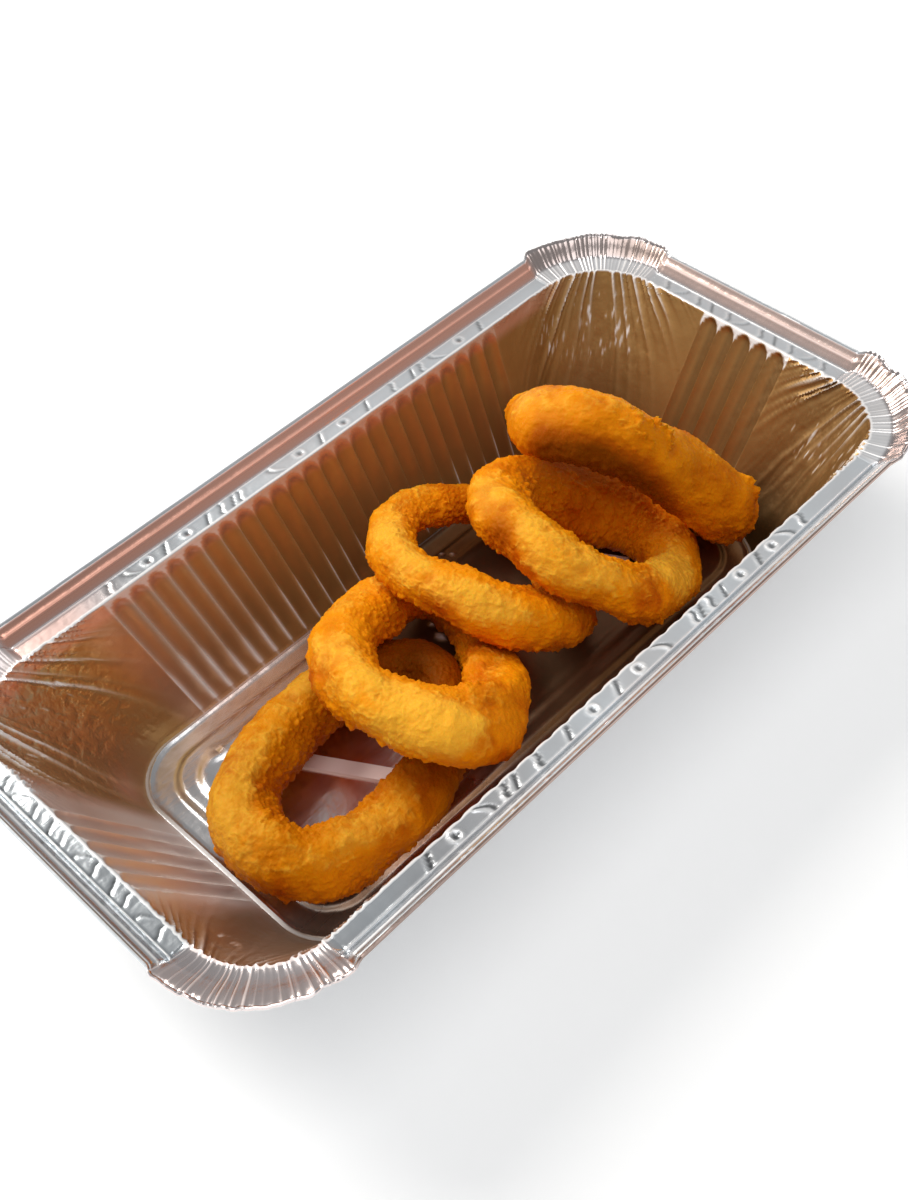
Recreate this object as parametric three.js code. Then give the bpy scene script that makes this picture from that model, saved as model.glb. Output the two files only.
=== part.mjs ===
// A side of five onion rings in a takeaway foil tray, in millimetres, +Z up.
// The origin is the middle of the tray's base, on the surface that the tray stands on.
// X runs along the tray and Y across it. The rings lie fallen against each other along X.

import * as THREE from "three";

// ---------- driving dimensions of the foil tray ----------

const FOIL = 0.6; // wall, thicker than real foil so that it is a sound solid
const RIM_HALF_LENGTH = 100; // inner edge of the ledge, along X
const RIM_HALF_WIDTH = 46.7; // inner edge of the ledge, along Y
const RIM_CORNER = 18.2; // corner radius there
const LEDGE_HEIGHT = 38.2; // upper face of the ledge above the table
const LEDGE_WIDTH = 4.6;
const FLANGE_OUT = 3.6; // the flange flares outwards from the ledge
const FLANGE_RISE = 3.7;
const BEAD_OUT = 0.8; // rolled bead round the flange's edge
const BEAD_DROP = 0.3;
const BEAD_DEPTH = 1.1;

const END_DRAFT = 23.7; // how far an end wall leans out from floor to ledge
const SIDE_DRAFT = 12.6; // the same for a long wall
const FLOOR_HALF_LENGTH = RIM_HALF_LENGTH - END_DRAFT;
const FLOOR_HALF_WIDTH = RIM_HALF_WIDTH - SIDE_DRAFT;
const FLOOR_CORNER = 13.8;
const FOOT_WIDTH = 5.6; // flat band round the floor that the tray stands on
const PANEL_STEP = 1.3; // width of the slope from the band up to the raised panel
const PANEL_RISE = 1;

const FLUTE_PITCH = 5.1; // the walls are pressed into upright flutes
const LONG_WALL_FLUTES = 24;
const END_WALL_FLUTES = 5;
const FLUTE_DEPTH = 1.3;
const FLUTE_CONVERGE = 0.92; // the flutes stand closer together at the floor
const FLUTE_SKEW = 4.5; // and lean sideways by this much along a long wall
// Levels of a wall: climb is the share of its height, flute the share of the flutes' depth there.
const WALL_LEVELS = [
  { climb: 0.1, flute: 0.6 },
  { climb: 0.5, flute: 1 },
  { climb: 0.86, flute: 1 },
  { climb: 0.94, flute: 0 },
];

const CORNER_STEPS = 8; // facets round each corner
const PLEAT_DEPTH = 0.35; // the corner of the flange is gathered into pleats
const LEDGE_PLEAT = 0.3; // share of that depth at the ledge
const CORNER_FLARE = 1.2; // its flange stands further out and a little higher
const CORNER_LIFT = 0.7;

// ---------- driving dimensions of the rings ----------

// centre: middle of the ring, in the tray's frame.
// tip, tipAxis: how far the ring leans over, and the heading of the level line that it leans about.
// spin: heading of its long axis in its own plane. All of these are degrees.
// halfLong, halfShort: size of the closed line that the breaded limb follows.
// radial, axial: half the limb's thickness across the ring's plane and square to it.
// thin: how much the limb thins and thickens once round, and where it is thickest.
// warp: how far the ring is twisted out of its plane, and where.
// corner: how far its outline is from an oval towards a three-cornered shape, and where.
const RINGS = [
  {
    name: "onion_ring_1",
    centre: [-43, -6.9, 11.8],
    tip: 5.6,
    tipAxis: 66,
    spin: 12,
    halfLong: 29.1,
    halfShort: 16.7,
    radial: 7.1,
    axial: 7.7,
    thin: { amount: 0.07, at: 153 },
    warp: { amount: 1.3, at: -32 },
    corner: { amount: 0.01, at: 45 },
  },
  {
    name: "onion_ring_2",
    centre: [-16.6, -4.8, 22],
    tip: 28.3,
    tipAxis: 94,
    spin: 37,
    halfLong: 27.5,
    halfShort: 16.8,
    radial: 6.8,
    axial: 6.5,
    thin: { amount: 0.05, at: 158 },
    warp: { amount: 0.9, at: 86 },
    corner: { amount: 0.09, at: -24 },
  },
  {
    name: "onion_ring_3",
    centre: [14.2, 6.4, 19.9],
    tip: 30.7,
    tipAxis: 83,
    spin: 31,
    halfLong: 26,
    halfShort: 21.7,
    radial: 6.4,
    axial: 5.6,
    thin: { amount: 0.2, at: 234 },
    warp: { amount: 1.4, at: 21 },
    corner: { amount: 0.04, at: -15 },
  },
  {
    name: "onion_ring_4",
    centre: [34.3, -9.4, 22.7],
    tip: 33.8,
    tipAxis: 75,
    spin: -9,
    halfLong: 25.5,
    halfShort: 20.1,
    radial: 7.2,
    axial: 6.4,
    thin: { amount: 0.05, at: 90 },
    warp: { amount: 1.3, at: 68 },
    corner: { amount: 0.05, at: -10 },
  },
  {
    name: "onion_ring_5",
    centre: [57.3, 1.9, 26.7],
    tip: 51.7,
    tipAxis: 98.1,
    spin: 47.5,
    halfLong: 23.8,
    halfShort: 25.7,
    radial: 7,
    axial: 6.5,
    thin: { amount: 0.3, at: 223 },
    warp: { amount: 1.6, at: -22 },
    corner: { amount: 0.12, at: 66 },
  },
];

const RING_STEPS = 27; // facets round the ring
const LIMB_STEPS = 11; // facets round its limb
const CRUST_SWELLS = 5; // long waves in the crust
const CRUST_HEIGHT = 0.22; // height of each of them
const TANGENT_STEP = 1e-3; // angle over which the limb's direction is measured

// ---------- colours ----------

const FOIL_MATERIAL = { color: 0xb9aba3, roughness: 0.3, metalness: 1 };
const CRUST_MATERIAL = { color: 0xd98a1c, roughness: 0.75, metalness: 0 };

// ---------- helpers ----------

const radians = THREE.MathUtils.degToRad;

// A closed mesh from a list of points and a list of faces of three or four point numbers.
function closedGeometry(points, faces) {
  const index = [];
  for (const [a, b, c, d] of faces) {
    index.push(a, b, c);
    if (d !== undefined) index.push(a, c, d);
  }
  const geometry = new THREE.BufferGeometry();
  geometry.setAttribute(
    "position",
    new THREE.Float32BufferAttribute(points.flat(), 3),
  );
  geometry.setIndex(index);
  geometry.computeVertexNormals();
  return geometry;
}

function mesh(name, geometry, look) {
  const made = new THREE.Mesh(geometry, new THREE.MeshStandardMaterial(look));
  made.name = name;
  return made;
}

// ---------- the foil tray ----------

// The tray's levels, from the floor's raised panel out to the bead. Each level is a rounded
// rectangle: half length, half width and corner radius at a height. pleat is the share of the
// corner's gathering there, and back the way from the upper skin to the lower one: outwards, then
// up.
function trayLevels() {
  const wall = ({ climb, flute }) => ({
    length: THREE.MathUtils.lerp(FLOOR_HALF_LENGTH, RIM_HALF_LENGTH, climb),
    width: THREE.MathUtils.lerp(FLOOR_HALF_WIDTH, RIM_HALF_WIDTH, climb),
    corner: THREE.MathUtils.lerp(FLOOR_CORNER, RIM_CORNER, climb),
    height: THREE.MathUtils.lerp(FOIL, LEDGE_HEIGHT, climb),
    climb,
    flute,
    pleat: 0,
    back: [FOIL, -FOIL * 0.35],
  });
  const foot = { climb: 0, flute: 0 };
  const floor = (inset, height) => ({
    ...wall(foot),
    length: FLOOR_HALF_LENGTH - inset,
    width: FLOOR_HALF_WIDTH - inset,
    corner: FLOOR_CORNER - inset,
    height,
    back: [0, -FOIL],
  });
  const rim = (out, up, pleat, back) => ({
    ...wall({ climb: 1, flute: 0 }),
    length: RIM_HALF_LENGTH + out,
    width: RIM_HALF_WIDTH + out,
    corner: RIM_CORNER + out,
    height: LEDGE_HEIGHT + up,
    pleat,
    back,
  });
  const flangeOut = LEDGE_WIDTH + FLANGE_OUT;
  return [
    floor(FOOT_WIDTH + PANEL_STEP, FOIL + PANEL_RISE),
    floor(FOOT_WIDTH, FOIL),
    { ...wall(foot), back: [FOIL * 0.3, -FOIL] },
    ...WALL_LEVELS.map(wall),
    rim(0, 0, 0, [FOIL, -FOIL]),
    rim(LEDGE_WIDTH, 0, LEDGE_PLEAT, [FOIL * 0.7, -FOIL]),
    rim(flangeOut, FLANGE_RISE, 1, [FOIL * 0.6, -BEAD_DEPTH]),
    rim(flangeOut + BEAD_OUT, FLANGE_RISE - BEAD_DROP, 1, [0, -BEAD_DEPTH]),
  ];
}

// Points of one straight wall, from one end to the other: a ridge, a flute, a ridge and so on.
// Each is [along, outward], with along measured from the wall's middle.
function wallPoints(flutes, level, skew) {
  const points = [];
  const spread = THREE.MathUtils.lerp(FLUTE_CONVERGE, 1, level.climb);
  for (let step = 0; step <= flutes * 2; step++) {
    const along = (step / 2 - flutes / 2) * FLUTE_PITCH;
    const inFlute = step % 2 === 1;
    points.push([
      along * spread + skew * (1 - level.climb),
      inFlute ? FLUTE_DEPTH * level.flute : 0,
    ]);
  }
  return points;
}

// The closed outline of one level, anticlockwise from above: [x, y, outward x, outward y, lift].
function outline(level) {
  const straightX = level.length - level.corner;
  const straightY = level.width - level.corner;
  const points = [];
  const side = (turn, flutes, distance, skew) => {
    const cos = Math.round(Math.cos(turn));
    const sin = Math.round(Math.sin(turn));
    for (const [along, out] of wallPoints(flutes, level, skew)) {
      const reach = distance + out;
      points.push([
        reach * cos - along * sin,
        reach * sin + along * cos,
        cos,
        sin,
        0,
      ]);
    }
  };
  const corner = (signX, signY, start) => {
    for (let step = 0; step <= CORNER_STEPS; step++) {
      const share = step / CORNER_STEPS;
      const angle = start + (share * Math.PI) / 2;
      const swell = Math.sin(share * Math.PI) * level.pleat;
      const pleat = step % 2 === 1 ? PLEAT_DEPTH : -PLEAT_DEPTH;
      const reach = level.corner + swell * (CORNER_FLARE + pleat);
      points.push([
        signX * straightX + reach * Math.cos(angle),
        signY * straightY + reach * Math.sin(angle),
        Math.cos(angle),
        Math.sin(angle),
        swell * CORNER_LIFT,
      ]);
    }
  };
  side(0, END_WALL_FLUTES, level.length, 0);
  corner(1, 1, 0);
  side(Math.PI / 2, LONG_WALL_FLUTES, level.width, -FLUTE_SKEW);
  corner(-1, 1, Math.PI / 2);
  side(Math.PI, END_WALL_FLUTES, level.length, 0);
  corner(-1, -1, Math.PI);
  side(Math.PI * 1.5, LONG_WALL_FLUTES, level.width, -FLUTE_SKEW);
  corner(1, -1, Math.PI * 1.5);
  return points;
}

function foilTray() {
  const levels = trayLevels();
  const upper = [];
  const lower = [];
  for (const level of levels) {
    const [backOut, backUp] = level.back;
    for (const [x, y, outX, outY, lift] of outline(level)) {
      const z = level.height + lift;
      upper.push([x, y, z]);
      lower.push([x + outX * backOut, y + outY * backOut, z + backUp]);
    }
  }
  const count = upper.length / levels.length;
  const offset = upper.length;
  const panelHeight = FOIL + PANEL_RISE;
  const points = [
    ...upper,
    ...lower,
    [0, 0, panelHeight],
    [0, 0, panelHeight - FOIL],
  ];
  const upperMiddle = points.length - 2;
  const lowerMiddle = points.length - 1;
  const faces = [];
  for (let j = 0; j < count; j++) {
    const next = (j + 1) % count;
    faces.push([upperMiddle, j, next]);
    faces.push([lowerMiddle, offset + next, offset + j]);
    for (let i = 0; i + 1 < levels.length; i++) {
      const [a, b] = [i * count + j, i * count + next];
      const [c, d] = [b + count, a + count];
      faces.push([a, d, c, b]);
      faces.push([offset + a, offset + b, offset + c, offset + d]);
    }
    const edge = (levels.length - 1) * count;
    faces.push([edge + j, offset + edge + j, offset + edge + next, edge + next]);
  }
  return mesh("foil_tray", closedGeometry(points, faces), FOIL_MATERIAL);
}

// ---------- the onion rings ----------

// A repeatable number from 0 to 1 for each pair of whole numbers.
function scatter(a, b) {
  const wave = Math.sin(a * 12.9898 + b * 78.233) * 43758.5453;
  return wave - Math.floor(wave);
}

// Height of the crust's long swells at a place round the ring and round its limb.
function crustSwell(around, across, seed) {
  let height = 0;
  for (let wave = 1; wave <= CRUST_SWELLS; wave++) {
    const phase = scatter(seed, wave) * Math.PI * 2;
    const cross = 1 + Math.floor(scatter(seed, wave + 20) * 3);
    height += Math.sin((wave + 2) * around + cross * across + phase);
  }
  return height * CRUST_HEIGHT;
}

// The middle line of the limb at an angle round the ring, in the ring's own frame.
function middleLine(ring, angle) {
  const corner = radians(ring.corner.at);
  const warp = radians(ring.warp.at);
  const swell = 1 + ring.corner.amount * Math.cos(3 * angle - corner);
  return new THREE.Vector3(
    ring.halfLong * Math.cos(angle) * swell,
    ring.halfShort * Math.sin(angle) * swell,
    ring.warp.amount * Math.cos(2 * angle - warp),
  );
}

function onionRing(ring, seed) {
  const points = [];
  const faces = [];
  for (let i = 0; i < RING_STEPS; i++) {
    const angle = (i / RING_STEPS) * Math.PI * 2;
    const middle = middleLine(ring, angle);
    const ahead = middleLine(ring, angle + TANGENT_STEP).sub(middle);
    const outward = new THREE.Vector3(ahead.y, -ahead.x, 0).normalize();
    const girth =
      1 + ring.thin.amount * Math.cos(angle - radians(ring.thin.at));
    for (let j = 0; j < LIMB_STEPS; j++) {
      const across = (j / LIMB_STEPS) * Math.PI * 2;
      const swell = crustSwell(angle, across, seed);
      const out = (ring.radial * girth + swell) * Math.cos(across);
      const up = (ring.axial * girth + swell) * Math.sin(across);
      points.push([
        middle.x + outward.x * out,
        middle.y + outward.y * out,
        middle.z + up,
      ]);
      const [nextI, nextJ] = [(i + 1) % RING_STEPS, (j + 1) % LIMB_STEPS];
      faces.push([
        i * LIMB_STEPS + j,
        nextI * LIMB_STEPS + j,
        nextI * LIMB_STEPS + nextJ,
        i * LIMB_STEPS + nextJ,
      ]);
    }
  }
  const made = mesh(ring.name, closedGeometry(points, faces), CRUST_MATERIAL);
  const heading = radians(ring.tipAxis);
  const level = new THREE.Vector3(Math.cos(heading), Math.sin(heading), 0);
  const tip = new THREE.Quaternion().setFromAxisAngle(level, radians(ring.tip));
  const spin = new THREE.Quaternion().setFromAxisAngle(
    new THREE.Vector3(0, 0, 1),
    radians(ring.spin),
  );
  made.quaternion.copy(tip.multiply(spin));
  made.position.set(...ring.centre);
  return made;
}

// ---------- the whole side ----------

const group = new THREE.Group();
group.add(foilTray());
RINGS.forEach((ring, seed) => group.add(onionRing(ring, seed + 1)));

export default group;
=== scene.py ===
"""Looks of an onion rings side: five crumbed rings in a pressed foil takeaway tray.

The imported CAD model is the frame. Lengths in the classes are millimetres, and meshes are turned
to metres when they are written. X runs along the tray, Y across it, and Z up from the table.
"""

import itertools
import logging
import math
from dataclasses import dataclass, field
from enum import Enum, IntEnum
from typing import Callable

import bpy
import numpy as np
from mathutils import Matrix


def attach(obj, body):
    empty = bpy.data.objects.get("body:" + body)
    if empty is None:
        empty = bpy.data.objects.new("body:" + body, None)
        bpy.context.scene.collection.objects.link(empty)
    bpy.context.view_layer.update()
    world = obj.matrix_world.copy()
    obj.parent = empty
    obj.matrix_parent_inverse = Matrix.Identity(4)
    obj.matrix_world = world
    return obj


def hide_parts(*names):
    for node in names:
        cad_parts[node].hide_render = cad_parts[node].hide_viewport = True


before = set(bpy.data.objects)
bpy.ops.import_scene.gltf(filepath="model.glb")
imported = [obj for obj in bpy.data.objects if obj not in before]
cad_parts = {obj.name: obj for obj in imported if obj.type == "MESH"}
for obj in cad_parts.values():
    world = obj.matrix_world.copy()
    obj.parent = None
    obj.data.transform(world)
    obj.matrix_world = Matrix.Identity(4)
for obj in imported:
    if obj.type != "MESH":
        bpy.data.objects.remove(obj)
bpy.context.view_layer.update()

LOG = logging.getLogger("onion_rings_side")
MM = 0.001
TURN = 2 * math.pi
Array = np.ndarray
Numbers = np.ndarray | float
Span = tuple[float, float]
Triple = tuple[float, float, float]
Piece = bpy.types.Object
Material = bpy.types.Material
Socket = bpy.types.NodeSocket
EVERYWHERE: Span = (-1000.0, -999.0)  # a rise that is over before the object begins
FOLD_SWAY = 60  # from a crease pattern's seed to the seed of its sway


class Seed(IntEnum):
    """Which of the many noise patterns each thing has."""

    MARKS = 5
    FAN_SWAY = 11
    FOLDS = 12
    FINE_FOLDS = 13
    PATCHES = 14
    CROSSED = 15
    DENTS = 16
    RIPPLES = 17
    SCUFF_EDGE = 18
    BENT = 19
    FLOOR_DENTS = 21
    FLOOR_RIPPLES = 22
    PLEAT_SWAY = 31
    PLEAT_STRENGTH = 32
    BEAD_LUMPS = 33
    BEAD_NUBS = 34
    LEDGE_WAVES = 35
    HUMPS = 41
    KNOBS = 42
    SHREDS = 43
    SHRED_PATCHES = 44
    CRUMB_PATCHES = 45
    GRIT = 46
    PALE_PATCHES = 47
    FLAKES = 48
    FLAKE_PATCHES = 49
    CRUMBS = 50  # grains take the five numbers after theirs, too
    BITS = 60
    BIG_CRUMBS = 70
    BEND_X = 81
    BEND_Y = 82
    BEND_Z = 83
    GLINTS = 90


# ---------- number helpers ----------


def smoothstep(value: Numbers, low: Numbers, high: Numbers) -> Numbers:
    """Eased rise from 0 at low to 1 at high.

    Args:
        value: numbers to ease.
        low: where the rise starts.
        high: where it ends; it may lie below low for a fall.

    Returns:
        The eased numbers.
    """
    share = np.clip((value - low) / (high - low), 0, 1)
    return share * share * (3 - 2 * share)


def bell(value: Numbers, width: float) -> Numbers:
    """1 where the value is 0, falling off like a bell within that width."""
    return np.exp(-((value / width) ** 2))


def lattice(cell: Array, seed: int) -> Array:
    """Repeatable number from 0 to 1 for each whole-number cell.

    Args:
        cell: cell numbers, three to a row.
        seed: which of the many patterns.

    Returns:
        One number for each row.
    """
    number = cell.astype(np.int64).astype(np.uint64)
    mixed = number[..., 0] * np.uint64(73856093) ^ number[..., 1] * np.uint64(19349663)
    mixed ^= number[..., 2] * np.uint64(83492791) ^ np.uint64(seed * 2654435761)
    mixed ^= mixed >> np.uint64(13)
    mixed *= np.uint64(0x9E3779B97F4A7C15)
    mixed ^= mixed >> np.uint64(31)
    return (mixed & np.uint64(0xFFFFFF)).astype(float) / 0xFFFFFF


def noise(point: Array, seed: int) -> Array:
    """Smooth noise between -1 and 1, with bumps about one unit wide.

    Args:
        point: places, three to a row.
        seed: which of the many patterns.

    Returns:
        One number for each row.
    """
    base = np.floor(point)
    part = point - base
    part = part**3 * (part * (part * 6 - 15) + 10)
    total = np.zeros(len(point))
    for corner in itertools.product((0, 1), repeat=3):
        weight = np.prod(np.where(np.array(corner) == 1, part, 1 - part), axis=1)
        total += weight * lattice(base + corner, seed)
    return total * 2 - 1


def ridges(point: Array, seed: int, patches: Array, sharpness: int) -> Array:
    """Sharp ridges in patches, such as flakes of crust.

    Args:
        point: places, three to a row.
        seed: which of the many patterns.
        patches: where there are ridges, from 0 to 1.
        sharpness: how narrow they are.

    Returns:
        Height from 0 to 1 for each place.
    """
    return (1 - np.abs(noise(point, seed))) ** sharpness * patches


def grains(point: Array, seed: int, fill: Array) -> tuple[Array, Array]:
    """Scattered round grains, at most one to each unit cell.

    Args:
        point: places, three to a row.
        seed: which of the many patterns.
        fill: share of the cells that hold a grain, for each place.

    Returns:
        The height of the grain over each place, from 0 to 1, and a number from 0 to 1 that
        is the grain's own.
    """
    base = np.floor(point)
    height = np.zeros(len(point))
    tone = np.zeros(len(point))
    for step in itertools.product((-1, 0, 1), repeat=3):
        cell = base + step
        centre = np.stack([lattice(cell, seed + k) for k in (1, 2, 3)], axis=1)
        centre = cell + 0.5 + (centre - 0.5) * 0.9
        chance = lattice(cell, seed + 4)
        size = 0.26 + 0.56 * lattice(cell, seed + 5) ** 1.5
        reach = np.linalg.norm(point - centre, axis=1) / size
        dome = np.sqrt(np.clip(1 - reach**2, 0, 1)) * size * 1.25
        dome *= smoothstep(fill - chance, 0, 0.05)
        tone = np.where(dome > height, chance, tone)
        height = np.maximum(height, dome)
    return height, tone


# ---------- mesh helpers ----------


def deselect() -> None:
    """Leave nothing selected."""
    bpy.ops.object.select_all(action="DESELECT")


def make_active(piece: Piece) -> None:
    """Select one piece alone and make it active.

    Args:
        piece: the piece.
    """
    deselect()
    piece.select_set(True)
    bpy.context.view_layer.objects.active = piece


def edit(piece: Piece, *steps: Callable[[], object]) -> None:
    """Run edit-mode operators on all of a piece.

    Args:
        piece: the piece to edit.
        steps: the operators, in order.
    """
    make_active(piece)
    bpy.ops.object.mode_set(mode="EDIT")
    bpy.ops.mesh.select_all(action="SELECT")
    for step in steps:
        step()
    bpy.ops.object.mode_set(mode="OBJECT")


def place_points(piece: Piece, points: Array) -> None:
    """Move a piece's vertices.

    Args:
        piece: the piece.
        points: new places in millimetres, three to a row, in the order of the vertices.
    """
    piece.data.vertices.foreach_set("co", (points * MM).astype(np.float32).ravel())
    piece.data.update()


def paint(piece: Piece, name: str, values: Array) -> None:
    """Store one number for each vertex, for a material to read.

    Args:
        piece: the piece.
        name: the attribute's name.
        values: one number for each vertex.
    """
    layer = piece.data.attributes.new(name, "FLOAT", "POINT")
    layer.data.foreach_set("value", values.astype(np.float32))


def add_grid(name: str, columns: int, rows: int) -> Piece:
    """A flat grid with that many vertices each way, to be shaped into a sheet.

    Args:
        name: the piece's name.
        columns: vertices along X.
        rows: vertices along Y.

    Returns:
        The new piece. Its vertices run along X first.
    """
    deselect()
    bpy.ops.mesh.primitive_grid_add(
        x_subdivisions=columns - 1, y_subdivisions=rows - 1, size=2, location=(0, 0, 0)
    )
    piece = bpy.context.object
    piece.name = piece.data.name = name
    return piece


# ---------- materials ----------


@dataclass(frozen=True)
class Grain:
    """One layer of fine relief in a finish."""

    scale: float  # bumps to a metre
    detail: float  # how many finer layers it has
    depth: float  # in metres
    strength: float
    stretch: Triple = (1, 1, 1)


class Nodes:
    """A short way to build a material's node tree."""

    def __init__(self, name: str) -> None:
        """Start a material with a Principled shader.

        Args:
            name: the material's name.
        """
        self.material = bpy.data.materials.new(name)
        self.material.use_nodes = True
        self.tree = self.material.node_tree
        self.tree.nodes.clear()
        self.shader = self.tree.nodes.new("ShaderNodeBsdfPrincipled")
        out = self.tree.nodes.new("ShaderNodeOutputMaterial")
        self.tree.links.new(self.shader.outputs[0], out.inputs["Surface"])
        self.object = self.tree.nodes.new("ShaderNodeTexCoord").outputs["Object"]

    def fill(self, target: Socket, value: object) -> None:
        """Set a socket to a number or colour, or join it to another socket.

        Args:
            target: the socket.
            value: a number, a colour or a socket.
        """
        if isinstance(value, Socket):
            self.tree.links.new(value, target)
        elif isinstance(value, tuple) and len(target.default_value) == 4:
            target.default_value = (*value[:3], 1)
        else:
            target.default_value = value

    def node(self, kind: str, **inputs: object) -> bpy.types.Node:
        """Add a node.

        Args:
            kind: its type without the leading ShaderNode.
            inputs: values of its sockets by name, with an underscore for each space.

        Returns:
            The node.
        """
        node = self.tree.nodes.new("ShaderNode" + kind)
        for name, value in inputs.items():
            self.fill(node.inputs[name.replace("_", " ")], value)
        return node

    def finish(self, **inputs: object) -> None:
        """Set the shader's sockets, named as for a node."""
        for name, value in inputs.items():
            self.fill(self.shader.inputs[name.replace("_", " ")], value)

    def attribute(self, name: str) -> Socket:
        """Numbers painted on the vertices.

        Args:
            name: the name that they are painted under.

        Returns:
            The numbers.
        """
        node = self.node("Attribute")
        node.attribute_name = name
        return node.outputs["Fac"]

    def noise(self, scale: float, detail: float = 3, stretch: Triple = (1, 1, 1)) -> Socket:
        """Noise over the piece's own coordinates.

        Args:
            scale: bumps to a metre.
            detail: how many finer layers it has.
            stretch: how much closer the bumps stand along X, Y and Z.

        Returns:
            The noise, from 0 to 1.
        """
        place = self.node("Mapping", Scale=stretch, Vector=self.object).outputs[0]
        return self.node("TexNoise", Scale=scale, Detail=detail, Vector=place).outputs["Fac"]

    def math(self, kind: str, a: object, b: object = 0.0, c: object = 0.0) -> Socket:
        """Arithmetic on up to three numbers.

        Args:
            kind: the operation, such as MULTIPLY.
            a: first number.
            b: second number.
            c: third number, for an operation that has one.

        Returns:
            The result.
        """
        node = self.node("Math")
        node.operation = kind
        for socket, value in zip(node.inputs, (a, b, c)):
            self.fill(socket, value)
        return node.outputs[0]

    def ramp(self, value: object, low: float, high: float) -> Socket:
        """Rise from 0 to 1 between two values, eased.

        Args:
            value: the number to ease.
            low: where the rise starts.
            high: where it ends.

        Returns:
            The eased number.
        """
        node = self.node("MapRange", Value=value, From_Min=low, From_Max=high)
        node.interpolation_type = "SMOOTHSTEP"
        return node.outputs[0]

    def mix(self, share: object, a: object, b: object, kind: str = "MIX") -> Socket:
        """Blend of two colours.

        Args:
            share: how much of b.
            a: first colour.
            b: second colour.
            kind: how they blend.

        Returns:
            The blended colour.
        """
        node = self.tree.nodes.new("ShaderNodeMix")
        node.data_type = "RGBA"
        node.blend_type = kind
        for name, value in (("Factor", share), ("A", a), ("B", b)):
            self.fill(node.inputs[name], value)
        return node.outputs["Result"]

    def bump(self, height: Socket, depth: float, strength: float, over: Socket | None = None) -> Socket:
        """Fine relief.

        Args:
            height: the relief, from 0 to 1.
            depth: its depth in metres.
            strength: how much of it shows.
            over: coarser relief that it lies on.

        Returns:
            The bent normal.
        """
        node = self.node("Bump", Distance=depth, Strength=strength, Height=height)
        if over is not None:
            self.fill(node.inputs["Normal"], over)
        return node.outputs[0]

    def grain(self, layer: Grain, over: Socket | None = None) -> Socket:
        """The bent normal of a layer of noise, on coarser relief where there is some."""
        height = self.noise(layer.scale, layer.detail, layer.stretch)
        return self.bump(height, layer.depth, layer.strength, over)


@dataclass(frozen=True)
class FoilFinish:
    """Rolled aluminium, pressed and crinkled, with painted reflection: warm where food is mirrored, matt
    where scuffed, pale with painted glints, darker with painted shade.
    """

    name: str = "pressed_foil"
    silver: Triple = (0.85, 0.90, 0.94)
    # warm, brown, pink and dull brown are painted reflections of the food and the tray's dark inside; the
    # pale is of scuffs and painted glints
    warm: Triple = (0.76, 0.57, 0.48)
    brown: Triple = (0.58, 0.39, 0.17)
    pink_reflection: Triple = (0.95, 0.50, 0.38)
    pale_scuff_and_glint: Triple = (0.94, 0.92, 0.91)
    dull_brown_reflection: Triple = (0.42, 0.20, 0.045)
    roughness: float = 0.2
    metallic: float = 1.0
    cloud: float = 0.25  # how strongly warm clouds show
    less_metal: Span = (-0.6, -0.4)  # added to the metal where scuffed and glinting and where dull and brown
    rougher: Triple = (0.14, 0.36, 0.08)  # added to the roughness where warm, scuffed and glinting, and dull and brown
    streak: float = 0.1  # how much the rolling streaks' roughness varies
    crinkle: Grain = Grain(150, 3, 0.0012, 0.16)
    rolled: Grain = Grain(900, 2, 0.0002, 0.15, (0.06, 1, 1))

    def build(self) -> Material:
        """Make the material.

        Returns:
            The foil, which reads six attributes: reflected_warmth, scuff_and_glint, dull_brown_reflection,
                pink_reflection, shade and crackle; shade is painted shade.
        """
        nodes = Nodes(self.name)
        reflected_warmth, scuff_and_glint, dull_brown_reflection = (nodes.attribute(name) for name in ("reflected_warmth", "scuff_and_glint", "dull_brown_reflection"))
        tone = nodes.mix(nodes.ramp(reflected_warmth, 0, 0.5), self.silver, self.warm)
        tone = nodes.mix(nodes.ramp(reflected_warmth, 0.5, 1), tone, self.brown)
        cloud = nodes.math("MULTIPLY", nodes.ramp(nodes.noise(38, 2), 0.4, 0.75), self.cloud)
        tone = nodes.mix(cloud, tone, self.warm, "MULTIPLY")
        tone = nodes.mix(dull_brown_reflection, tone, self.dull_brown_reflection)
        tone = nodes.mix(nodes.ramp(scuff_and_glint, 0.2, 1), tone, self.pale_scuff_and_glint)
        tone = nodes.mix(nodes.attribute("pink_reflection"), tone, self.pink_reflection)
        metal = self.metallic
        for share, weight in zip((scuff_and_glint, dull_brown_reflection), self.less_metal):
            metal = nodes.math("MULTIPLY_ADD", share, weight, metal)
        streak = nodes.noise(260, 3, (0.12, 1, 1))
        rough = nodes.math("MULTIPLY_ADD", streak, self.streak, self.roughness - self.streak / 2)
        for share, weight in zip((reflected_warmth, scuff_and_glint, dull_brown_reflection), self.rougher):
            rough = nodes.math("MULTIPLY_ADD", share, weight, rough)
        apart = nodes.math("ABSOLUTE", nodes.math("SUBTRACT", nodes.noise(210, 3, (1, 1, 0.8)), 0.5))
        crease = nodes.math("SUBTRACT", 1.0, nodes.ramp(apart, 0, 0.2))
        crease = nodes.math("MULTIPLY", crease, nodes.attribute("crackle"))
        nodes.finish(
            Base_Color=nodes.mix(1.0, tone, nodes.attribute("shade"), "MULTIPLY"),
            Metallic=metal, Roughness=rough,
            Normal=nodes.grain(self.rolled, nodes.bump(crease, 0.0006, 0.8, nodes.grain(self.crinkle))),
        )
        return nodes.material


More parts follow.
